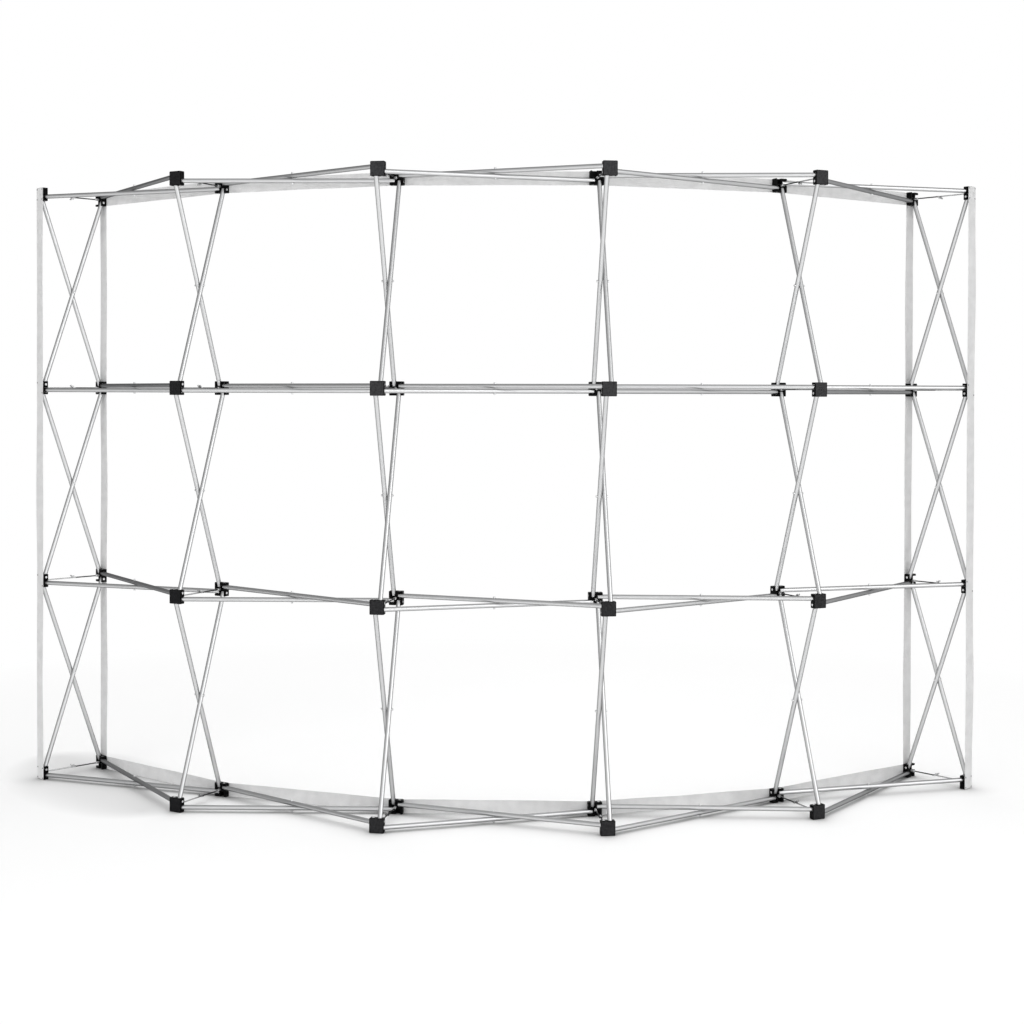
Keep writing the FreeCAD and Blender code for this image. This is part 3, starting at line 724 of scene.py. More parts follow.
@shared("materials", "satin_aluminium")
def tube_aluminium(name):
    """Satin anodised aluminium tube with faint drawing lines along it and painted shade at its edges."""
    material, tree, shader = new_material(name)
    lines = place_group(tree, drawn_group(), {"Across": 90.0, "Along": 2.5})["Lines"]
    smudge = grain_of(tree, grain_scale=1200.0, smudge_scale=9.0)["Smudge"]
    drawn = mottled(tree, lines, sizes("colours").tube, dark=0.94, light=1.03)
    put(tree, shader, {
        # Painted shade towards the tube's edges, where its surface turns from the camera
        "Base Color": painted_edge_shade(tree, drawn, edge=0.30),
        "Metallic": 1.0,
        "Roughness": math_node(tree, "ADD", ranged(tree, lines, *SPECKLE, -0.03, 0.03),
                               ranged(tree, smudge, *SPECKLE, 0.33, 0.42)),
        "Specular Tint": (0.3, 0.3, 0.31, 1),
        "Normal": bumped(tree, lines, strength=0.04, distance=0.0002)})
    return material


@shared("materials", "bright_steel")
def bright_steel(name):
    """Bright drawn steel of the lock rods, with a little grey in it and dark painted shade at its edges."""
    material, tree, shader = new_material(name)
    grain = grain_of(tree, grain_scale=700.0, smudge_scale=40.0)
    worn = mottled(tree, grain["Smudge"], sizes("colours").steel, dark=0.8, light=1.1)
    put(tree, shader, {
        # Strong painted shade towards the rod's edges, leaving a bright streak down the middle
        "Base Color": painted_edge_shade(tree, worn, edge=0.04),
        "Metallic": 1.0,
        "Roughness": ranged(tree, grain["Grain"], *SPECKLE, 0.22, 0.34),
        "Specular Tint": (0.35, 0.35, 0.36, 1),
        "Normal": bumped(tree, grain["Grain"], strength=0.05, distance=0.0001)})
    return material


def fastener_steel(name, colour, smudge_scale, dark, light, smooth, rough):
    """A steel for pins and rivets, smudged in its colour and its polish."""
    material, tree, shader = new_material(name)
    grain = grain_of(tree, grain_scale=1500.0, smudge_scale=smudge_scale)
    put(tree, shader, {
        "Base Color": mottled(tree, grain["Smudge"], colour, dark, light),
        "Metallic": 1.0,
        "Roughness": ranged(tree, grain["Smudge"], *SPECKLE, smooth, rough),
        "Specular Tint": (0.4, 0.4, 0.41, 1),
        "Normal": bumped(tree, grain["Grain"], strength=0.08, distance=0.0001)})
    return material


@shared("materials", "plated_steel")
def plain_steel(name):
    """Zinc-plated steel of pins, rivets and ferrules."""
    return fastener_steel(name, tinted(sizes("colours").steel, 0.95), smudge_scale=90.0, dark=0.75, light=1.1,
                          smooth=0.28, rough=0.45)


@shared("materials", "blackened_steel")
def blackened_steel(name):
    """Blackened steel of the rivets that hold the strips."""
    return fastener_steel(name, sizes("colours").strip_rivet, smudge_scale=120.0, dark=0.7, light=1.2,
                          smooth=0.35, rough=0.5)


@shared("materials", "light_grey_loop_tape")
def loop_tape(name):
    """Light grey loop tape: a close weave under a soft brushed face, with painted shade in its hollows."""
    material, tree, shader = new_material(name)
    weave = place_group(tree, weave_group(), {"Threads": 1000.0, "Fuzz Scale": 2200.0})
    put(tree, shader, {
        "Base Color": mottled(tree, weave["Shade"], sizes("colours").tape, dark=0.93, light=1.06),
        "Roughness": ranged(tree, weave["Height"], 0.2, 0.9, 0.95, 0.8),
        "Sheen Weight": 0.25,
        "Sheen Roughness": 0.6,
        "Specular IOR Level": 0.2,
        "Normal": bumped(tree, weave["Height"], strength=0.5, distance=0.0006)})
    return material


@shared("materials", "sewing_thread")
def sewing_thread(name):
    """Off-white twisted thread."""
    material, tree, shader = new_material(name)
    grain = grain_of(tree, grain_scale=3000.0, smudge_scale=300.0)
    put(tree, shader, {
        "Base Color": mottled(tree, grain["Grain"], sizes("colours").thread, dark=0.85, light=1.05),
        "Roughness": ranged(tree, grain["Smudge"], *SPECKLE, 0.6, 0.8),
        "Normal": bumped(tree, grain["Grain"], strength=0.2, distance=0.0001)})
    return material


# Hubs and their pads

def quarter_turns():
    """The four turns of a hub's slots about its Z."""
    return [Matrix.Rotation(turn * QUARTER, 4, "Z") for turn in range(4)]


def pin_axis():
    """Where the pin of a hub's first slot lies: its Z runs from the hub's side to its middle web."""
    tube = sizes("tube")
    depth = HUB_DEPTH - tube.diameter / 2
    return Matrix.Translation((tube.pin_reach, 0, -depth)) @ Matrix.Rotation(-QUARTER, 4, "X")


def hub_mesh():
    """A hub with its outer face at Z 0: a rounded square with four tube slots set round like a pinwheel."""
    hub, tube = sizes("hub"), sizes("tube")
    radius = hub.corner_radius
    overrun = hub.plate
    corner_steps = 6
    outline = []
    for turn, spin in enumerate(quarter_turns()):
        centre = spin @ Vector((HALF_HUB - radius, HALF_HUB - radius, 0))
        for step in range(corner_steps + 1):
            angle = QUARTER * (turn + step / corner_steps)
            outline.append(centre + along(angle) * radius)
    body = skinned([[point - UP * HUB_DEPTH for point in outline], outline])
    far = tube.spacing / 2 + tube.diameter / 2 + hub.slot_clearance
    near = far - tube.diameter - 2 * hub.slot_clearance
    slot = block((hub.centre_web, -far, -HUB_DEPTH - overrun), (HALF_HUB + overrun, -near, -hub.plate))
    seat_floor = -HALF_HUB + hub.head_height + hub.head_clearance * 2
    seat = plain_pin(hub.head_diameter / 2 + hub.head_clearance, -HALF_HUB - overrun, seat_floor,
                     hub.edge_bevel / 4)
    socket = plain_pin(hub.socket_diameter / 2, -HUB_DEPTH - overrun, hub.socket_depth - HUB_DEPTH,
                       hub.edge_bevel)
    cutters = [(socket, Matrix())]
    for spin in quarter_turns():
        cutters += [(slot, spin), (seat, spin @ pin_axis())]
    return bevelled(cut_from(body, cutters), hub.edge_bevel)


# A hook's rings from root to tip: how far forward and up, and how wide, as shares of its height and stem
HOOK_SHARES = ((0, -0.1, 1.2), (0, 0.62, 0.9), (0.22, 0.93, 0.8), (0.5, 0.74, 0.35))
STEM_SHARES = ((-1, -0.8), (1, -0.8), (0, 1.1))


def hook_mesh(height, stem):
    """One hook of the hook fabric, bent forward at its tip."""
    rings = []
    for forward, up, width in HOOK_SHARES:
        middle = Vector((forward, 0, up)) * height
        rings.append([middle + Vector((x, y, 0)) * stem * width for x, y in STEM_SHARES])
    return skinned(rings)


def frayed_outline(side, steps=24):
    """The outline of a cut square of fabric, frayed along its edges and nipped at its corners."""
    half = side / 2
    fray_rate, fray_depth = 400, side / 120
    corner_share, nip_share = 0.04, 0.012
    outline = []
    for spin in quarter_turns():
        for step in range(steps):
            across = -half + side * step / steps
            point = spin @ Vector((across, -half, 0))
            fray = abs(noise.noise(point * fray_rate)) * fray_depth / half
            nip = nip_share if abs(abs(across) - half) < half * corner_share else 0
            outline.append(point * (1 - fray - nip))
    return outline


def pad_mesh():
    """A hook pad lying on Z 0: a base with a slightly frayed edge, set with small hooks."""
    hub = sizes("hub")
    base_height = hub.pad_thickness / 2
    taper_share, field_share, stem_share = 0.985, 0.94, 0.11
    field = hub.pad_side * field_share
    edge = frayed_outline(hub.pad_side)
    base = shaded(skinned([edge, [point * taper_share + UP * base_height for point in edge]]), MOULDED_CREASE)
    hook = new_object(hook_mesh(hub.pad_thickness - base_height, hub.hook_pitch * stem_share), "hook")
    hooks = run_tree(hook_tree(), {"Hook": hook, "Side": field, "Count": int(field / hub.hook_pitch),
                                   "Base Height": base_height, "Material": hook_fabric()})
    bpy.data.objects.remove(hook)
    return merged(base, hooks)


# Crossed tubes

def tube_mesh(length):
    """A hollow tube along X between its end pins, its ends rounded about the pins, which run along Z."""
    tube = sizes("tube")
    outer = tube.diameter / 2
    inner = outer - tube.wall
    sides = tube.sides
    bm = bmesh.new()
    flat = bm.loops.layers.uv.new("UVMap")

    def ring(radius, reach, end):
        verts = []
        for k in range(sides):
            angle = 2 * math.pi * k / sides
            y, z = radius * math.sin(angle), radius * math.cos(angle)
            verts.append(bm.verts.new((reach + end * math.sqrt(max(0.0, outer ** 2 - y ** 2)), y, z)))
        return verts

    stations = ((0.0, -1), (tube.diameter, 0), (length / 2, 0), (length - tube.diameter, 0), (length, 1))
    shell, bore = ([ring(radius, *station) for station in stations] for radius in (outer, inner))
    loop = shell + bore[::-1]
    for first, second in zip(loop, loop[1:] + loop[:1]):
        for k in range(sides):
            after = (k + 1) % sides
            face = bm.faces.new((first[k], second[k], second[after], first[after]))
            for corner, turn in zip(face.loops, (k, k, k + 1, k + 1)):
                corner[flat].uv = (turn / sides, corner.vert.co.x)
    bmesh.ops.recalc_face_normals(bm, faces=bm.faces)
    return shaded(to_mesh(bm, "tube"), ROUND_CREASE)


def tube_between(start, end, pin_way):
    """A tube's place from its two end pins, which run one way."""
    run = (end - start).normalized()
    side = pin_way.cross(run).normalized()
    return Matrix.Translation(start) @ axes(run, side, run.cross(side))


def layer_radius(layer):
    """Where a layer's tubes are pinned, from the arc's axis."""
    half_tube = sizes("tube").diameter / 2
    return REAR_BACK + half_tube if layer == "rear" else FRONT_BACK - half_tube


def level_pair():
    """The two end-pin pairs of a bay's cross, the bay's middle at angle 0."""
    tube = sizes("tube")
    half = BAY_ANGLE / 2
    pairs = []
    for first, last, side in (("rear", "front", -1), ("front", "rear", 1)):
        lift = UP * (side * tube.spacing / 2)
        start = arc_point(-half, layer_radius(first)) + along(-half) * tube.pin_reach + lift
        end = arc_point(half, layer_radius(last)) - along(half) * tube.pin_reach + lift
        pairs.append((start, end))
    return pairs


def upright_pair():
    """The two end-pin pairs of a column's cross, the column at angle 0."""
    tube = sizes("tube")
    pairs = []
    for first, last, side in (("rear", "front", 1), ("front", "rear", -1)):
        shift = along(0) * (side * tube.spacing / 2)
        start = arc_point(0, layer_radius(first), tube.pin_reach) + shift
        end = arc_point(0, layer_radius(last), ROW_PITCH - tube.pin_reach) + shift
        pairs.append((start, end))
    return pairs


def tube_cross(pairs, pin_way):
    """The two tubes of a cross, each with its place."""
    start, end = pairs[0]
    tube = tube_mesh((end - start).length)
    return [(tube, tube_between(start, end, pin_way)) for start, end in pairs]


def crossing(pairs):
    """Where the two tubes of a cross pass each other, half way between them."""
    (a, b), (c, d) = pairs
    run, other = b - a, d - c
    square = run.cross(other).normalized()
    gap = square * (c - a).dot(square)
    share = (c - gap - a).cross(other).length / run.cross(other).length
    return a + run * share + gap / 2


# Rivets and pins

def make_cross_rivets(material):
    """The rivets of the crosses, with a stud on both sides."""
    tube = sizes("tube")
    seat = tube.spacing / 2 + tube.diameter / 2
    top = seat + tube.stud_height
    stud = tube.stud_diameter / 2
    bevel = stud / 4
    neck_share, soft_share = 0.55, 0.3
    half = [(stud * neck_share, seat - tube.wall * 2), (stud, seat - tube.wall / 2), (stud, top - bevel),
            (stud - bevel * soft_share, top - bevel * soft_share), (stud - bevel, top), (0, top)]
    rivet = shaded(turned([(radius, -height) for radius, height in reversed(half)] + half), PIN_CREASE)
    level = spread([(rivet, Matrix.Translation(crossing(level_pair())))], material, columns=COLUMNS - 1)
    lying = Matrix.Translation(crossing(upright_pair())) @ Matrix.Rotation(QUARTER, 4, "Y")
    upright = spread([(rivet, lying)], material, rows=TOP_ROW)
    finished("cross_rivet_set", merged(level, upright), material, ["cross_rivets"])


def make_hub_pins(material):
    """The headed pins that hold the tubes' ends in the hubs."""
    hub = sizes("hub")
    shank, head, soft = hub.pin_diameter / 2, hub.head_diameter / 2, hub.edge_bevel / 3
    under, tip = hub.head_height - HALF_HUB, hub.pin_depth_in_web
    pin = shaded(turned([(0, -HALF_HUB), (head - soft, -HALF_HUB), (head, soft - HALF_HUB), (head, under),
                         (shank, under), (shank, tip - soft), (shank - soft, tip), (0, tip)]), PIN_CREASE)
    right, above, left, below = (spin @ pin_axis() for spin in quarter_turns())
    half_bay = BAY_ANGLE / 2
    level = spread([(pin, hub_frame("rear", -half_bay) @ right), (pin, hub_frame("rear", half_bay) @ left),
                    (pin, hub_frame("front", -half_bay) @ left), (pin, hub_frame("front", half_bay) @ right)],
                   material, columns=COLUMNS - 1)
    upright = spread([(pin, hub_frame(layer, 0, height) @ end) for layer in ("rear", "front")
                      for height, end in ((0, above), (ROW_PITCH, below))], material, rows=TOP_ROW)
    finished("hub_pin_set", merged(level, upright), material,
             ["rear_hub_pins", "front_hub_pins"])


def make_arm_pins(material):
    """The pivot pins of the lock arms."""
    lock = sizes("lock")
    end = lock.ferrule_diameter / 2
    pin = shaded(plain_pin(lock.arm_pin_diameter / 2, -end, end, lock.arm_pin_diameter / 8), PIN_CREASE)
    across = Matrix.Translation(arc_point(0, PIVOT_RADIUS)) @ Matrix.Rotation(QUARTER, 4, "Y")
    finished("arm_pin_set", spread([(pin, across)], material), material, ["lock_arm_pins"])


def strip_rivet_corners():
    """The corners of each hub where rivets hold its strips, as signs of the hub's own X and Y."""
    every = [(x, y) for x in (-1, 1) for y in (-1, 1)]
    found = {}
    for column in range(COLUMNS):
        for row in range(len(ROWS)):
            at_end, level = column in (0, COLUMNS - 1), row in (0, TOP_ROW)
            if at_end:
                found["rear", column, row] = every if level else [(-1, 1), (1, -1)]
            if at_end or level:
                falling = (column == 0) == (row == 0)
                found["front", column, row] = [(x, y) for x, y in every if (x == y) == falling]
    return found


# A domed rivet head from its rim to its middle, as shares of its radius and height
DOME_SHARES = ((0, 0), (1, 0), (1, 0.35), (0.85, 0.72), (0.5, 0.95), (0, 1))


def make_strip_rivets(material):
    """The domed rivets that hold the strips to the hubs."""
    strip = sizes("strip")
    radius, height = strip.rivet_diameter / 2, strip.rivet_height
    head = shaded(turned([(radius * out, height * up) for out, up in DOME_SHARES], sides=20), ROUND_CREASE)
    offset = HALF_HUB - strip.rivet_inset
    heads = []
    for (layer, column, row), corners in strip_rivet_corners().items():
        hub = hub_frame(layer, column_angle(column), FIRST_ROW + ROW_PITCH * row)
        for x, y in corners:
            seat = Matrix.Translation((x * offset, y * offset, strip.thickness))
            heads.append((head, Matrix.Translation(ARC_AXIS) @ hub @ seat))
    finished("strip_rivet_set", joined(heads), material, ["strip_rivets"])


# Locks

def make_ferrules(material):
    """The forked ferrules on the front hubs."""
    lock, hub = sizes("lock"), sizes("hub")
    barrel, length = lock.ferrule_diameter / 2, lock.ferrule_length
    spigot_share, rim_share, shoulder_share, nose_share = 0.98, 0.06, 0.25, 0.78
    spigot = hub.socket_diameter / 2 * spigot_share
    rim = barrel * rim_share
    body = turned([(0, -hub.socket_depth), (spigot, -hub.socket_depth), (spigot, 0), (barrel - rim, 0),
                   (barrel, rim), (barrel, length - barrel * shoulder_share), (barrel * nose_share, length),
                   (0, length)], sides=32)
    fork_floor = PIVOT_RADIUS - FRONT_BACK - lock.eye_diameter / 2 - lock.fork_gap / 2
    fork = block((-length, -lock.fork_gap / 2, fork_floor), (length, lock.fork_gap / 2, length * 2))
    ferrule = bevelled(cut_from(body, [(fork, Matrix())]), lock.fork_gap / 16)
    seat = Matrix.Translation(arc_point(0, FRONT_BACK)) @ axes(-UP, along(0), outward(0))
    mesh = shaded(spread([(ferrule, seat)], material), MOULDED_CREASE)
    finished("lock_ferrule_set", mesh, material, ["lock_ferrules"])


def catch_rod_mesh():
    """A catch rod along X from the lock arm's pivot, with its hook bent to Y."""
    lock = sizes("lock")
    catch_reach = (REAR_FACE + FRONT_FACE) / 2 - PIVOT_RADIUS
    root = REAR_BACK + sizes("hub").socket_depth - PIVOT_RADIUS
    centre = Vector((catch_reach, lock.catch_rise, 0))
    steps = 10
    points = [Vector((root, 0, 0)), Vector((catch_reach + lock.rod_diameter, 0, 0))]
    for step in range(steps + 1):
        angle = lock.hook_turn * step / steps
        points.append(centre - Vector((math.sin(angle), math.cos(angle), 0)) * lock.catch_rise)
    tip_way = Vector((-math.cos(lock.hook_turn), math.sin(lock.hook_turn), 0))
    points.append(points[-1] + tip_way * lock.hook_tip)
    curve = bpy.data.curves.new("catch rod", "CURVE")
    curve.dimensions = "3D"
    curve.bevel_depth = lock.rod_diameter / 2
    curve.bevel_resolution = 6
    curve.use_fill_caps = True
    spline = curve.splines.new("POLY")
    spline.points.add(len(points) - 1)
    for target, point in zip(spline.points, points):
        target.co = (*point, 1)
    return baked(new_object(curve, "catch rod"))


def make_catch_rods(material):
    """The rods of the rear hubs, whose hooks open upwards, and downwards in the top row."""
    rod = catch_rod_mesh()
    rods = []
    for side, rows, first_row in ((UP, TOP_ROW, 0), (-UP, 1, TOP_ROW)):
        turn = axes(outward(0), side, outward(0).cross(side))
        place = Matrix.Translation(arc_point(0, PIVOT_RADIUS)) @ turn
        rods.append(spread([(rod, place)], material, rows=rows, first_row=first_row))
    finished("lock_catch_rod_set", shaded(merged(*rods), ROUND_CREASE), material,
             ["lock_catch_rods"])


def make_lock_arms(material):
    """The swinging arms, smoothed copies of their CAD nodes."""
    weld = sizes("lock").rod_diameter / 1000
    for column in range(COLUMNS):
        for row in ROWS:
            name = "arm_c%d_%s" % (column + 1, row)
            node = "lock_" + name
            bm = bmesh.new()
            bm.from_mesh(frame["nodes"][node].data)
            bmesh.ops.remove_doubles(bm, verts=bm.verts, dist=weld)
            mesh = shaded(to_mesh(bm, node), ARM_CREASE)
            finished("swing_" + name, mesh, material, [node], node)


# Strips of loop tape

# How much thinner the tape is at its edges, and how suddenly
EDGE_ROLL_SHARE, EDGE_ROLL_POWER = 0.25, 8


def tape_face(v, layer):
    """How far the tape's back, layer 0, or its outer face, layer 1, stands off its hubs at v across it."""
    strip = sizes("strip")
    roll = EDGE_ROLL_SHARE * (abs(v) / strip.width * 2) ** EDGE_ROLL_POWER
    return strip.thickness * (1 - roll) * layer


def softened(share):
    """0 to 1 with a soft start and end."""
    share = min(1.0, max(0.0, share))
    return share * share * (3 - 2 * share)


class LevelRun:
    """The path of a level strip: flat on each front hub and nearly straight from hub to hub."""
    steps = 560
    # Rates of the noise, per metre, and steps that keep bays and rows apart in it
    wander_rate, bay_step, row_step = 2.3, 3.1, 5.7
    ripple_rate, ripple_rate_across, ripple_row_step = 9.0, 8.0, 2.0
    # How much of the slack is even and how much wanders, and the same for the dip of the free edge
    lean_shares, dip_shares = (0.75, 0.5), (1.3, 0.6)
    ripple_share, top_dip_share = 0.7, 0.6

    def __init__(self, row):
        self.row = row
        self.half = sizes("strip").width / 2
        self.corners = []
        for column in range(COLUMNS):
            angle = column_angle(column)
            for side in (-1, 1):
                self.corners.append(ARC_AXIS + arc_point(angle, FRONT_FACE) + along(angle) * side * self.half)
        self.marks = [0.0]
        for first, second in zip(self.corners, self.corners[1:]):
            self.marks.append(self.marks[-1] + (second - first).length)
        self.length = self.marks[-1]

    def limits(self, v):
        """Where the strip starts and ends at v up from its middle, cut to meet the upright strips."""
        cut = self.half + (v if self.row == 0 else -v)
        return cut, self.length - cut

    def on_line(self, s):
        """The level point at s along, the span it lies on and its share of that span."""
        s = min(max(s, 0.0), self.length)
        k = max(index for index in range(len(self.marks) - 1) if self.marks[index] <= s)
        share = (s - self.marks[k]) / (self.marks[k + 1] - self.marks[k])
        return self.corners[k].lerp(self.corners[k + 1], share), k, share

    def place(self, s, v, layer):
        """A point of the strip at s along, v up from its middle, on its back or its outer face."""
        strip = sizes("strip")
        bend = strip.width / 12
        point, span, share = self.on_line(s)
        run = (self.on_line(s + bend)[0] - self.on_line(s - bend)[0]).normalized()
        facing = Vector((-run.y, run.x, 0))
        free = math.sin(math.pi * share) ** 2 if span % 2 else 0.0
        bay = span // 2
        wander = noise.noise(Vector((s * self.wander_rate, bay * self.bay_step, self.row * self.row_step)))
        upper = softened(v / strip.width + 0.5)
        free_edge = upper if self.row == 0 else 1 - upper
        lean = strip.slack * free * (self.lean_shares[0] + self.lean_shares[1] * wander) * free_edge
        ripple = strip.thickness * self.ripple_share * free * noise.noise(
            Vector((s * self.ripple_rate, v * self.ripple_rate_across, self.row * self.ripple_row_step)))
        dip = lean * lean / strip.width * (self.dip_shares[0] + self.dip_shares[1] * wander) * free_edge
        height = FIRST_ROW + ROW_PITCH * self.row + v + (-dip if self.row == 0 else dip * self.top_dip_share)
        return point + facing * (tape_face(v, layer) + lean + ripple) + UP * height


class UprightRun:
    """The path of an upright strip on an end column, on its front or rear hubs."""
    steps = 300
    # How much of a cell lies flat on each hub
    hub_share = 0.07
    # Rates of the noise, per metre, and steps and places that keep strips, cells and waves apart in it
    twist_rate, billow_rate = 1.7, 1.3
    column_step, rear_step, cell_step = 2.7, 4.3, 3.9
    shift_place, twist_place, billow_place = 1.7, 5.0, 9.0
    # Shares of the sway
    shift_share, twist_share, billow_shares = 1.6, 1.4, (0.4, 0.5)

    def __init__(self, column, layer):
        self.angle = column_angle(column)
        self.rear = layer == "rear"
        self.lean = 0 if self.rear else (1 if column == 0 else -1)
        self.seed = column * self.column_step + (self.rear_step if self.rear else 0.0)

    def limits(self, v):
        """Where the strip starts and ends at v from its middle: square behind, mitred in front."""
        cut = self.lean * v - (sizes("strip").width / 2 if self.rear else 0.0)
        return FIRST_ROW + cut, FIRST_ROW + ROW_PITCH * TOP_ROW - cut

    def place(self, s, v, layer):
        """A point at height s, v along the wall from the strip's middle, on its back or its outer face."""
        strip = sizes("strip")
        facing, face = (outward(self.angle), REAR_FACE) if self.rear else (-outward(self.angle), FRONT_FACE)
        cell = (s - FIRST_ROW) / ROW_PITCH
        bare = (cell - math.floor(cell)) * (1 + 2 * self.hub_share) - self.hub_share
        share = min(1.0, max(0.0, bare))
        free = strip.sway * math.sin(math.pi * share) ** 2 if 0 < cell < TOP_ROW else 0.0
        wander = noise.noise(Vector((math.floor(cell) * self.cell_step, self.seed, self.shift_place)))
        wring = noise.noise(Vector((s * self.twist_rate, self.seed, self.twist_place)))
        swell = abs(noise.noise(Vector((s * self.billow_rate, self.seed, self.billow_place))))
        shift = free * wander * self.shift_share
        twist = free * self.twist_share * wring * v / strip.width * 2
        billow = free * (self.billow_shares[0] + self.billow_shares[1] * swell)
        base = ARC_AXIS + arc_point(self.angle, face, s) + along(self.angle) * (v + shift)
        return base + facing * (tape_face(v, layer) + billow + max(twist, -billow))


def evenly(start, end, steps):
    """Evenly spaced places between two, both ends included."""
    return [start + (end - start) * i / steps for i in range(steps + 1)]


def strip_sheet(run):
    """A strip of tape as a closed sheet along a run, with its flat coordinates in metres."""
    across, steps = 10, run.steps
    width = sizes("strip").width
    bm = bmesh.new()
    flat = bm.loops.layers.uv.new("UVMap")

    def line(j, layer):
        v = (j / across - 0.5) * width
        return [(bm.verts.new(run.place(s, v, layer)), (s, v)) for s in evenly(*run.limits(v), steps)]

    def face(*corners):
        made = bm.faces.new([vert for vert, uv in corners])
        for loop, (vert, uv) in zip(made.loops, corners):
            loop[flat].uv = uv

    inner, outer = ([line(j, layer) for j in range(across + 1)] for layer in (0, 1))
    for rows in (inner, outer):
        for j in range(across):
            for i in range(steps):
                face(rows[j][i], rows[j][i + 1], rows[j + 1][i + 1], rows[j + 1][i])
    for i in range(steps):
        for j in (0, across):
            face(inner[j][i], inner[j][i + 1], outer[j][i + 1], outer[j][i])
    for j in range(across):
        for i in (0, steps):
            face(inner[j][i], inner[j + 1][i], outer[j + 1][i], outer[j][i])
    bmesh.ops.recalc_face_normals(bm, faces=bm.faces)
    return shaded(to_mesh(bm, "strip"), TAPE_CREASE)


def seam_line(run, v):
    """The line of a seam along a strip's outer face, v from its middle."""
    margin = sizes("strip").stitch_inset
    start, end = run.limits(v)
    bm = bmesh.new()
    verts = [bm.verts.new(run.place(s, v, 1)) for s in evenly(start + margin, end - margin, run.steps)]
    for pair in zip(verts, verts[1:]):
        bm.edges.new(pair)
    return to_mesh(bm, "seam line")


def stitch_mesh():
    """One stitch along X."""
    strip = sizes("strip")
    length_share, thick_share = 0.68, 0.22
    thick = strip.thickness * thick_share
    bm = bmesh.new()
    bmesh.ops.create_cone(bm, cap_ends=True, segments=5, radius1=thick, radius2=thick,
                          depth=strip.stitch_pitch * length_share)
    bmesh.ops.rotate(bm, verts=bm.verts, matrix=Matrix.Rotation(QUARTER, 3, "Y"))
    return to_mesh(bm, "stitch")


def make_seams(runs):
    """The seams along both edges of the strips."""
    strip = sizes("strip")
    thread = sewing_thread()
    edge = strip.width / 2 - strip.stitch_inset
    path = new_object(merged(*[seam_line(run, v) for run in runs for v in (-edge, edge)]), "seams")
    stitch = new_object(stitch_mesh(), "stitch")
    mesh = run_tree(seam_tree(), {"Path": path, "Stitch": stitch, "Pitch": strip.stitch_pitch,
                                  "Material": thread})
    bpy.data.objects.remove(stitch)
    bpy.data.objects.remove(path)
    finished("strip_seams", shaded(mesh, THREAD_CREASE), thread)


# Stage

FLOOR_REACH = 30.0
FLOOR_DROP = 0.0004
WHITE = (1, 1, 1, 1)
# Where the floor turns to plain white, from its start to its end, as shares of half the wall's width
FAR_SHARES = (1.15, 2.2)
# Between which heights and sides of the room, as directions, its reflection gets darker
OVERHEAD_SPAN, LEFT_SPAN = (0.35, 0.9), (-0.9, 0.1)
# Each lamp's place, width, height and radiance, and whether metal mirrors it
LAMPS = {
    "key lamp": ((5.8, -5.2, 3.2), 5.0, 5.0, 1.55, True),
    "fill lamp": ((-4.2, -6.6, 2.9), 5.0, 4.0, 2.25, False),
    "front lamp": ((0.0, 6.5, 5.0), 7.0, 4.0, 1.2, True),
    "top lamp": ((0.4, -0.2, 7.0), 9.0, 9.0, 1.5, False),
}
# The height that the lamps face, as a share of the wall's
AIM_SHARE = 0.4
SENSOR_WIDTH = 36.0
CLIP_END = 200.0


def seen_rays(tree):
    """The camera's own rays, and all rays by which a surface is seen, mirrored ones too."""
    path = add(tree, "ShaderNodeLightPath").outputs
    mirrored = math_node(tree, "MAXIMUM", path["Is Glossy Ray"], path["Is Transmission Ray"])
    return path["Is Camera Ray"], math_node(tree, "MAXIMUM", path["Is Camera Ray"], mirrored)


def floor_shade(tree, stage):
    """How much of the floor's colour is left: shaded round the wall's feet, and softly at the left end."""
    contact = add(tree, "ShaderNodeAmbientOcclusion", {"Distance": stage.contact_reach}, samples=24)
    close = math_node(tree, "POWER", contact.outputs["AO"], stage.contact_depth)
    start, end = Vector(stage.shade_start), Vector(stage.shade_end)
    span = (end - start).length
    apart = [add(tree, "ShaderNodeVectorMath", {0: own_place(tree), 1: point}, operation="DISTANCE")
             for point in (start, end)]
    around = math_node(tree, "ADD", *[node.outputs["Value"] for node in apart])
    soft = ranged(tree, around, span, span * stage.shade_spread, 1.0 - stage.shade_depth, 1.0)
    return math_node(tree, "MULTIPLY", close, soft)


def floor_paint(stage):
    """The floor's material: pale, shaded where it is seen but not where it lights the wall, white far off."""
    material, tree, shader = new_material("studio_floor")
    colour = sizes("colours").floor
    shown = seen_rays(tree)[1]
    smudge = grain_of(tree, grain_scale=60.0, smudge_scale=0.4)["Smudge"]
    even = two_tone(tree, smudge, tinted(colour, 0.995), colour)
    lost = math_node(tree, "MULTIPLY", shown, math_node(tree, "SUBTRACT", 1.0, floor_shade(tree, stage)))
    put(tree, shader, {"Base Color": scaled(tree, even, math_node(tree, "SUBTRACT", 1.0, lost)),
                       "Roughness": 0.9, "Specular IOR Level": 0.1})
    lift = math_node(tree, "MULTIPLY", shown, stage.floor_lift)
    glow = add(tree, "ShaderNodeEmission", {"Color": WHITE, "Strength": lift})
    near = add(tree, "ShaderNodeAddShader", {0: shader.outputs[0], 1: glow.outputs[0]})
    white = add(tree, "ShaderNodeEmission", {"Color": WHITE})
    distance = add(tree, "ShaderNodeVectorMath", {0: own_place(tree)}, operation="LENGTH").outputs["Value"]
    far_off = ranged(tree, distance, *[CAD_BOX[1][0] * share for share in FAR_SHARES], 0.0, 1.0)
    total = add(tree, "ShaderNodeMixShader", {"Fac": math_node(tree, "MULTIPLY", far_off, shown),
                                              1: near.outputs[0], 2: white.outputs[0]})
    put(tree, tree.nodes["Material Output"], {"Surface": total.outputs[0]})
    return material


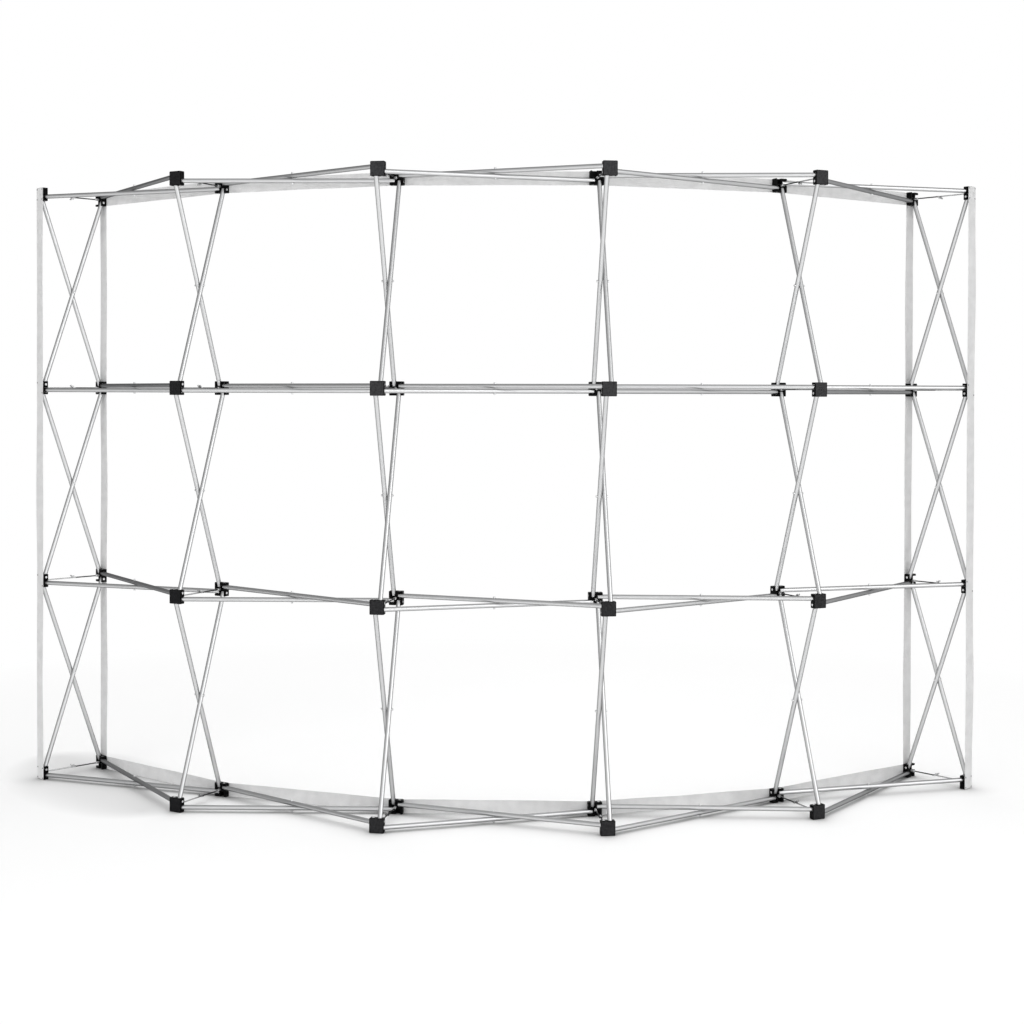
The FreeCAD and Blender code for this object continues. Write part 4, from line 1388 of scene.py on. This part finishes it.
def lay_floor(stage):
    """The studio floor, just under the wall."""
    bm = bmesh.new()
    bmesh.ops.create_grid(bm, x_segments=1, y_segments=1, size=FLOOR_REACH)
    floor = new_object(to_mesh(bm, "studio_floor"), "studio_floor")
    floor.location.z = -FLOOR_DROP
    floor.data.materials.append(floor_paint(stage))


def light_room(stage):
    """The world: white to the camera, a room with darker parts to the metal, an even light to all else."""
    world = bpy.data.worlds.new("studio")
    bpy.context.scene.world = world
    world.use_nodes = True
    tree = world.node_tree
    tree.nodes.clear()
    camera, shown = seen_rays(tree)
    way = split(tree, add(tree, "ShaderNodeTexCoord").outputs["Generated"])
    room = math_node(tree, "MULTIPLY", ranged(tree, way["Z"], *OVERHEAD_SPAN, 1.0, stage.overhead),
                     ranged(tree, way["X"], *LEFT_SPAN, stage.left_side, 1.0))
    looks = math_node(tree, "MULTIPLY", shown, math_node(tree, "MAXIMUM", camera, room))
    lights = math_node(tree, "MULTIPLY", math_node(tree, "SUBTRACT", 1.0, shown), stage.ambient)
    strength = math_node(tree, "ADD", looks, lights)
    back = add(tree, "ShaderNodeBackground", {"Color": WHITE, "Strength": strength})
    add(tree, "ShaderNodeOutputWorld", {"Surface": back.outputs[0]})


def hang_lamp(name, place, width, height, radiance, mirrored):
    """One lamp, turned to the wall."""
    lamp = bpy.data.lights.new(name, "AREA")
    lamp.shape = "RECTANGLE"
    lamp.size = width
    lamp.size_y = height
    lamp.energy = radiance * math.pi * width * height
    obj = new_object(lamp, name)
    obj.location = place
    aim = UP * WALL_HEIGHT * AIM_SHARE - Vector(place)
    obj.rotation_euler = aim.to_track_quat("-Z", "Y").to_euler()
    obj.visible_glossy = mirrored


def set_camera(stage):
    """The camera, where the photo was taken from."""
    lens = bpy.data.cameras.new("photo camera")
    lens.sensor_width = SENSOR_WIDTH
    lens.lens = stage.focal_length
    lens.shift_y = stage.lens_shift
    lens.clip_end = CLIP_END
    camera = new_object(lens, "photo camera")
    turn = (Matrix.Rotation(stage.camera_yaw, 4, "Z") @ Matrix.Rotation(QUARTER + stage.camera_pitch, 4, "X")
            @ Matrix.Rotation(stage.camera_roll, 4, "Z"))
    camera.matrix_world = Matrix.Translation(stage.camera_place) @ turn
    bpy.context.scene.camera = camera


# The add-on

class WALL_OT_hubs(bpy.types.Operator):
    """Make the 48 corner hubs"""
    bl_idname = "wall.hubs"
    bl_label = "Hubs"

    def execute(self, context):
        material = hub_plastic()
        hub = hub_mesh()
        for layer in ("rear", "front"):
            mesh = shaded(spread([(hub, hub_frame(layer))], material), MOULDED_CREASE)
            finished(layer + "_hubs", mesh, material,
                     ["%s_hubs_c%d" % (layer, column + 1) for column in range(COLUMNS)])
        return {"FINISHED"}


class WALL_OT_tubes(bpy.types.Operator):
    """Make the level and upright crosses of tubes"""
    bl_idname = "wall.tubes"
    bl_label = "Tubes"

    def execute(self, context):
        material = tube_aluminium()
        level = spread(tube_cross(level_pair(), UP), material, columns=COLUMNS - 1)
        finished("level_tubes", level, material, ["cross_bars_" + row for row in ROWS])
        upright = spread(tube_cross(upright_pair(), along(0)), material, rows=TOP_ROW)
        finished("upright_tubes", upright, material,
                 ["upright_bars_c%d" % (column + 1) for column in range(COLUMNS)])
        return {"FINISHED"}


class WALL_OT_fasteners(bpy.types.Operator):
    """Make the rivets of the crosses, the hub pins, the arm pins and the strip rivets"""
    bl_idname = "wall.fasteners"
    bl_label = "Rivets and pins"

    def execute(self, context):
        make_cross_rivets(plain_steel())
        make_hub_pins(plain_steel())
        make_arm_pins(plain_steel())
        make_strip_rivets(blackened_steel())
        return {"FINISHED"}


class WALL_OT_locks(bpy.types.Operator):
    """Make the forked ferrules, the catch rods and the swinging lock arms"""
    bl_idname = "wall.locks"
    bl_label = "Locks"

    def execute(self, context):
        make_ferrules(plain_steel())
        make_catch_rods(bright_steel())
        make_lock_arms(bright_steel())
        return {"FINISHED"}


class WALL_OT_hook_pads(bpy.types.Operator):
    """Make the hook pads on the hubs that carry no strip"""
    bl_idname = "wall.hook_pads"
    bl_label = "Hook pads"

    def execute(self, context):
        material = hook_fabric()
        pad = pad_mesh()
        for layer, rows, first_row in (("rear", len(ROWS), 0), ("front", len(ROWS) - 2, 1)):
            pads = spread([(pad, hub_frame(layer))], material, COLUMNS - 2, rows, first_row)
            finished(layer + "_hook_pads_set", pads, material, [layer + "_hook_pads"])
        return {"FINISHED"}


class WALL_OT_strips(bpy.types.Operator):
    """Make the strips of loop tape with their seams"""
    bl_idname = "wall.strips"
    bl_label = "Strips"

    def execute(self, context):
        material = loop_tape()
        ends = (0, COLUMNS - 1)
        strips = {"front_strip_bottom": [LevelRun(0)], "front_strip_top": [LevelRun(TOP_ROW)],
                  "front_strip_sides": [UprightRun(column, "front") for column in ends],
                  "rear_end_strips": [UprightRun(column, "rear") for column in ends]}
        for node, runs in strips.items():
            mesh = shaded(merged(*[strip_sheet(run) for run in runs]), TAPE_CREASE)
            finished(node + "_tape", mesh, material, [node])
        make_seams([run for runs in strips.values() for run in runs])
        return {"FINISHED"}


class WALL_OT_stage(bpy.types.Operator):
    """Set the floor, the light and the camera"""
    bl_idname = "wall.stage"
    bl_label = "Stage"

    def execute(self, context):
        stage = sizes("stage")
        context.scene.view_settings.view_transform = "Standard"
        lay_floor(stage)
        light_room(stage)
        for name, settings in LAMPS.items():
            hang_lamp(name, *settings)
        set_camera(stage)
        return {"FINISHED"}


class WALL_PT_pieces(bpy.types.Panel):
    """The pieces of the banner wall"""
    bl_idname = "WALL_PT_pieces"
    bl_label = "Banner wall"
    bl_space_type = "VIEW_3D"
    bl_region_type = "UI"
    bl_category = "Banner wall"

    def draw(self, context):
        for operator in OPERATORS:
            self.layout.operator(operator.bl_idname)


GROUPS = {"hub": HubSizes, "tube": TubeSizes, "lock": LockSizes, "strip": StripSizes, "colours": WallColours,
          "stage": StageSettings}
OPERATORS = (WALL_OT_hubs, WALL_OT_tubes, WALL_OT_fasteners, WALL_OT_locks, WALL_OT_hook_pads, WALL_OT_strips,
             WALL_OT_stage)


def register():
    for name, group in GROUPS.items():
        bpy.utils.register_class(group)
        setattr(bpy.types.Scene, "wall_" + name, PointerProperty(type=group))
    for operator in OPERATORS:
        bpy.utils.register_class(operator)
    bpy.utils.register_class(WALL_PT_pieces)


def unregister():
    bpy.utils.unregister_class(WALL_PT_pieces)
    for operator in reversed(OPERATORS):
        bpy.utils.unregister_class(operator)
    for name, group in reversed(GROUPS.items()):
        delattr(bpy.types.Scene, "wall_" + name)
        bpy.utils.unregister_class(group)


def main():
    register()
    for operator in OPERATORS:
        group, name = operator.bl_idname.split(".")
        getattr(getattr(bpy.ops, group), name)()


if __name__ == "__main__":
    main()
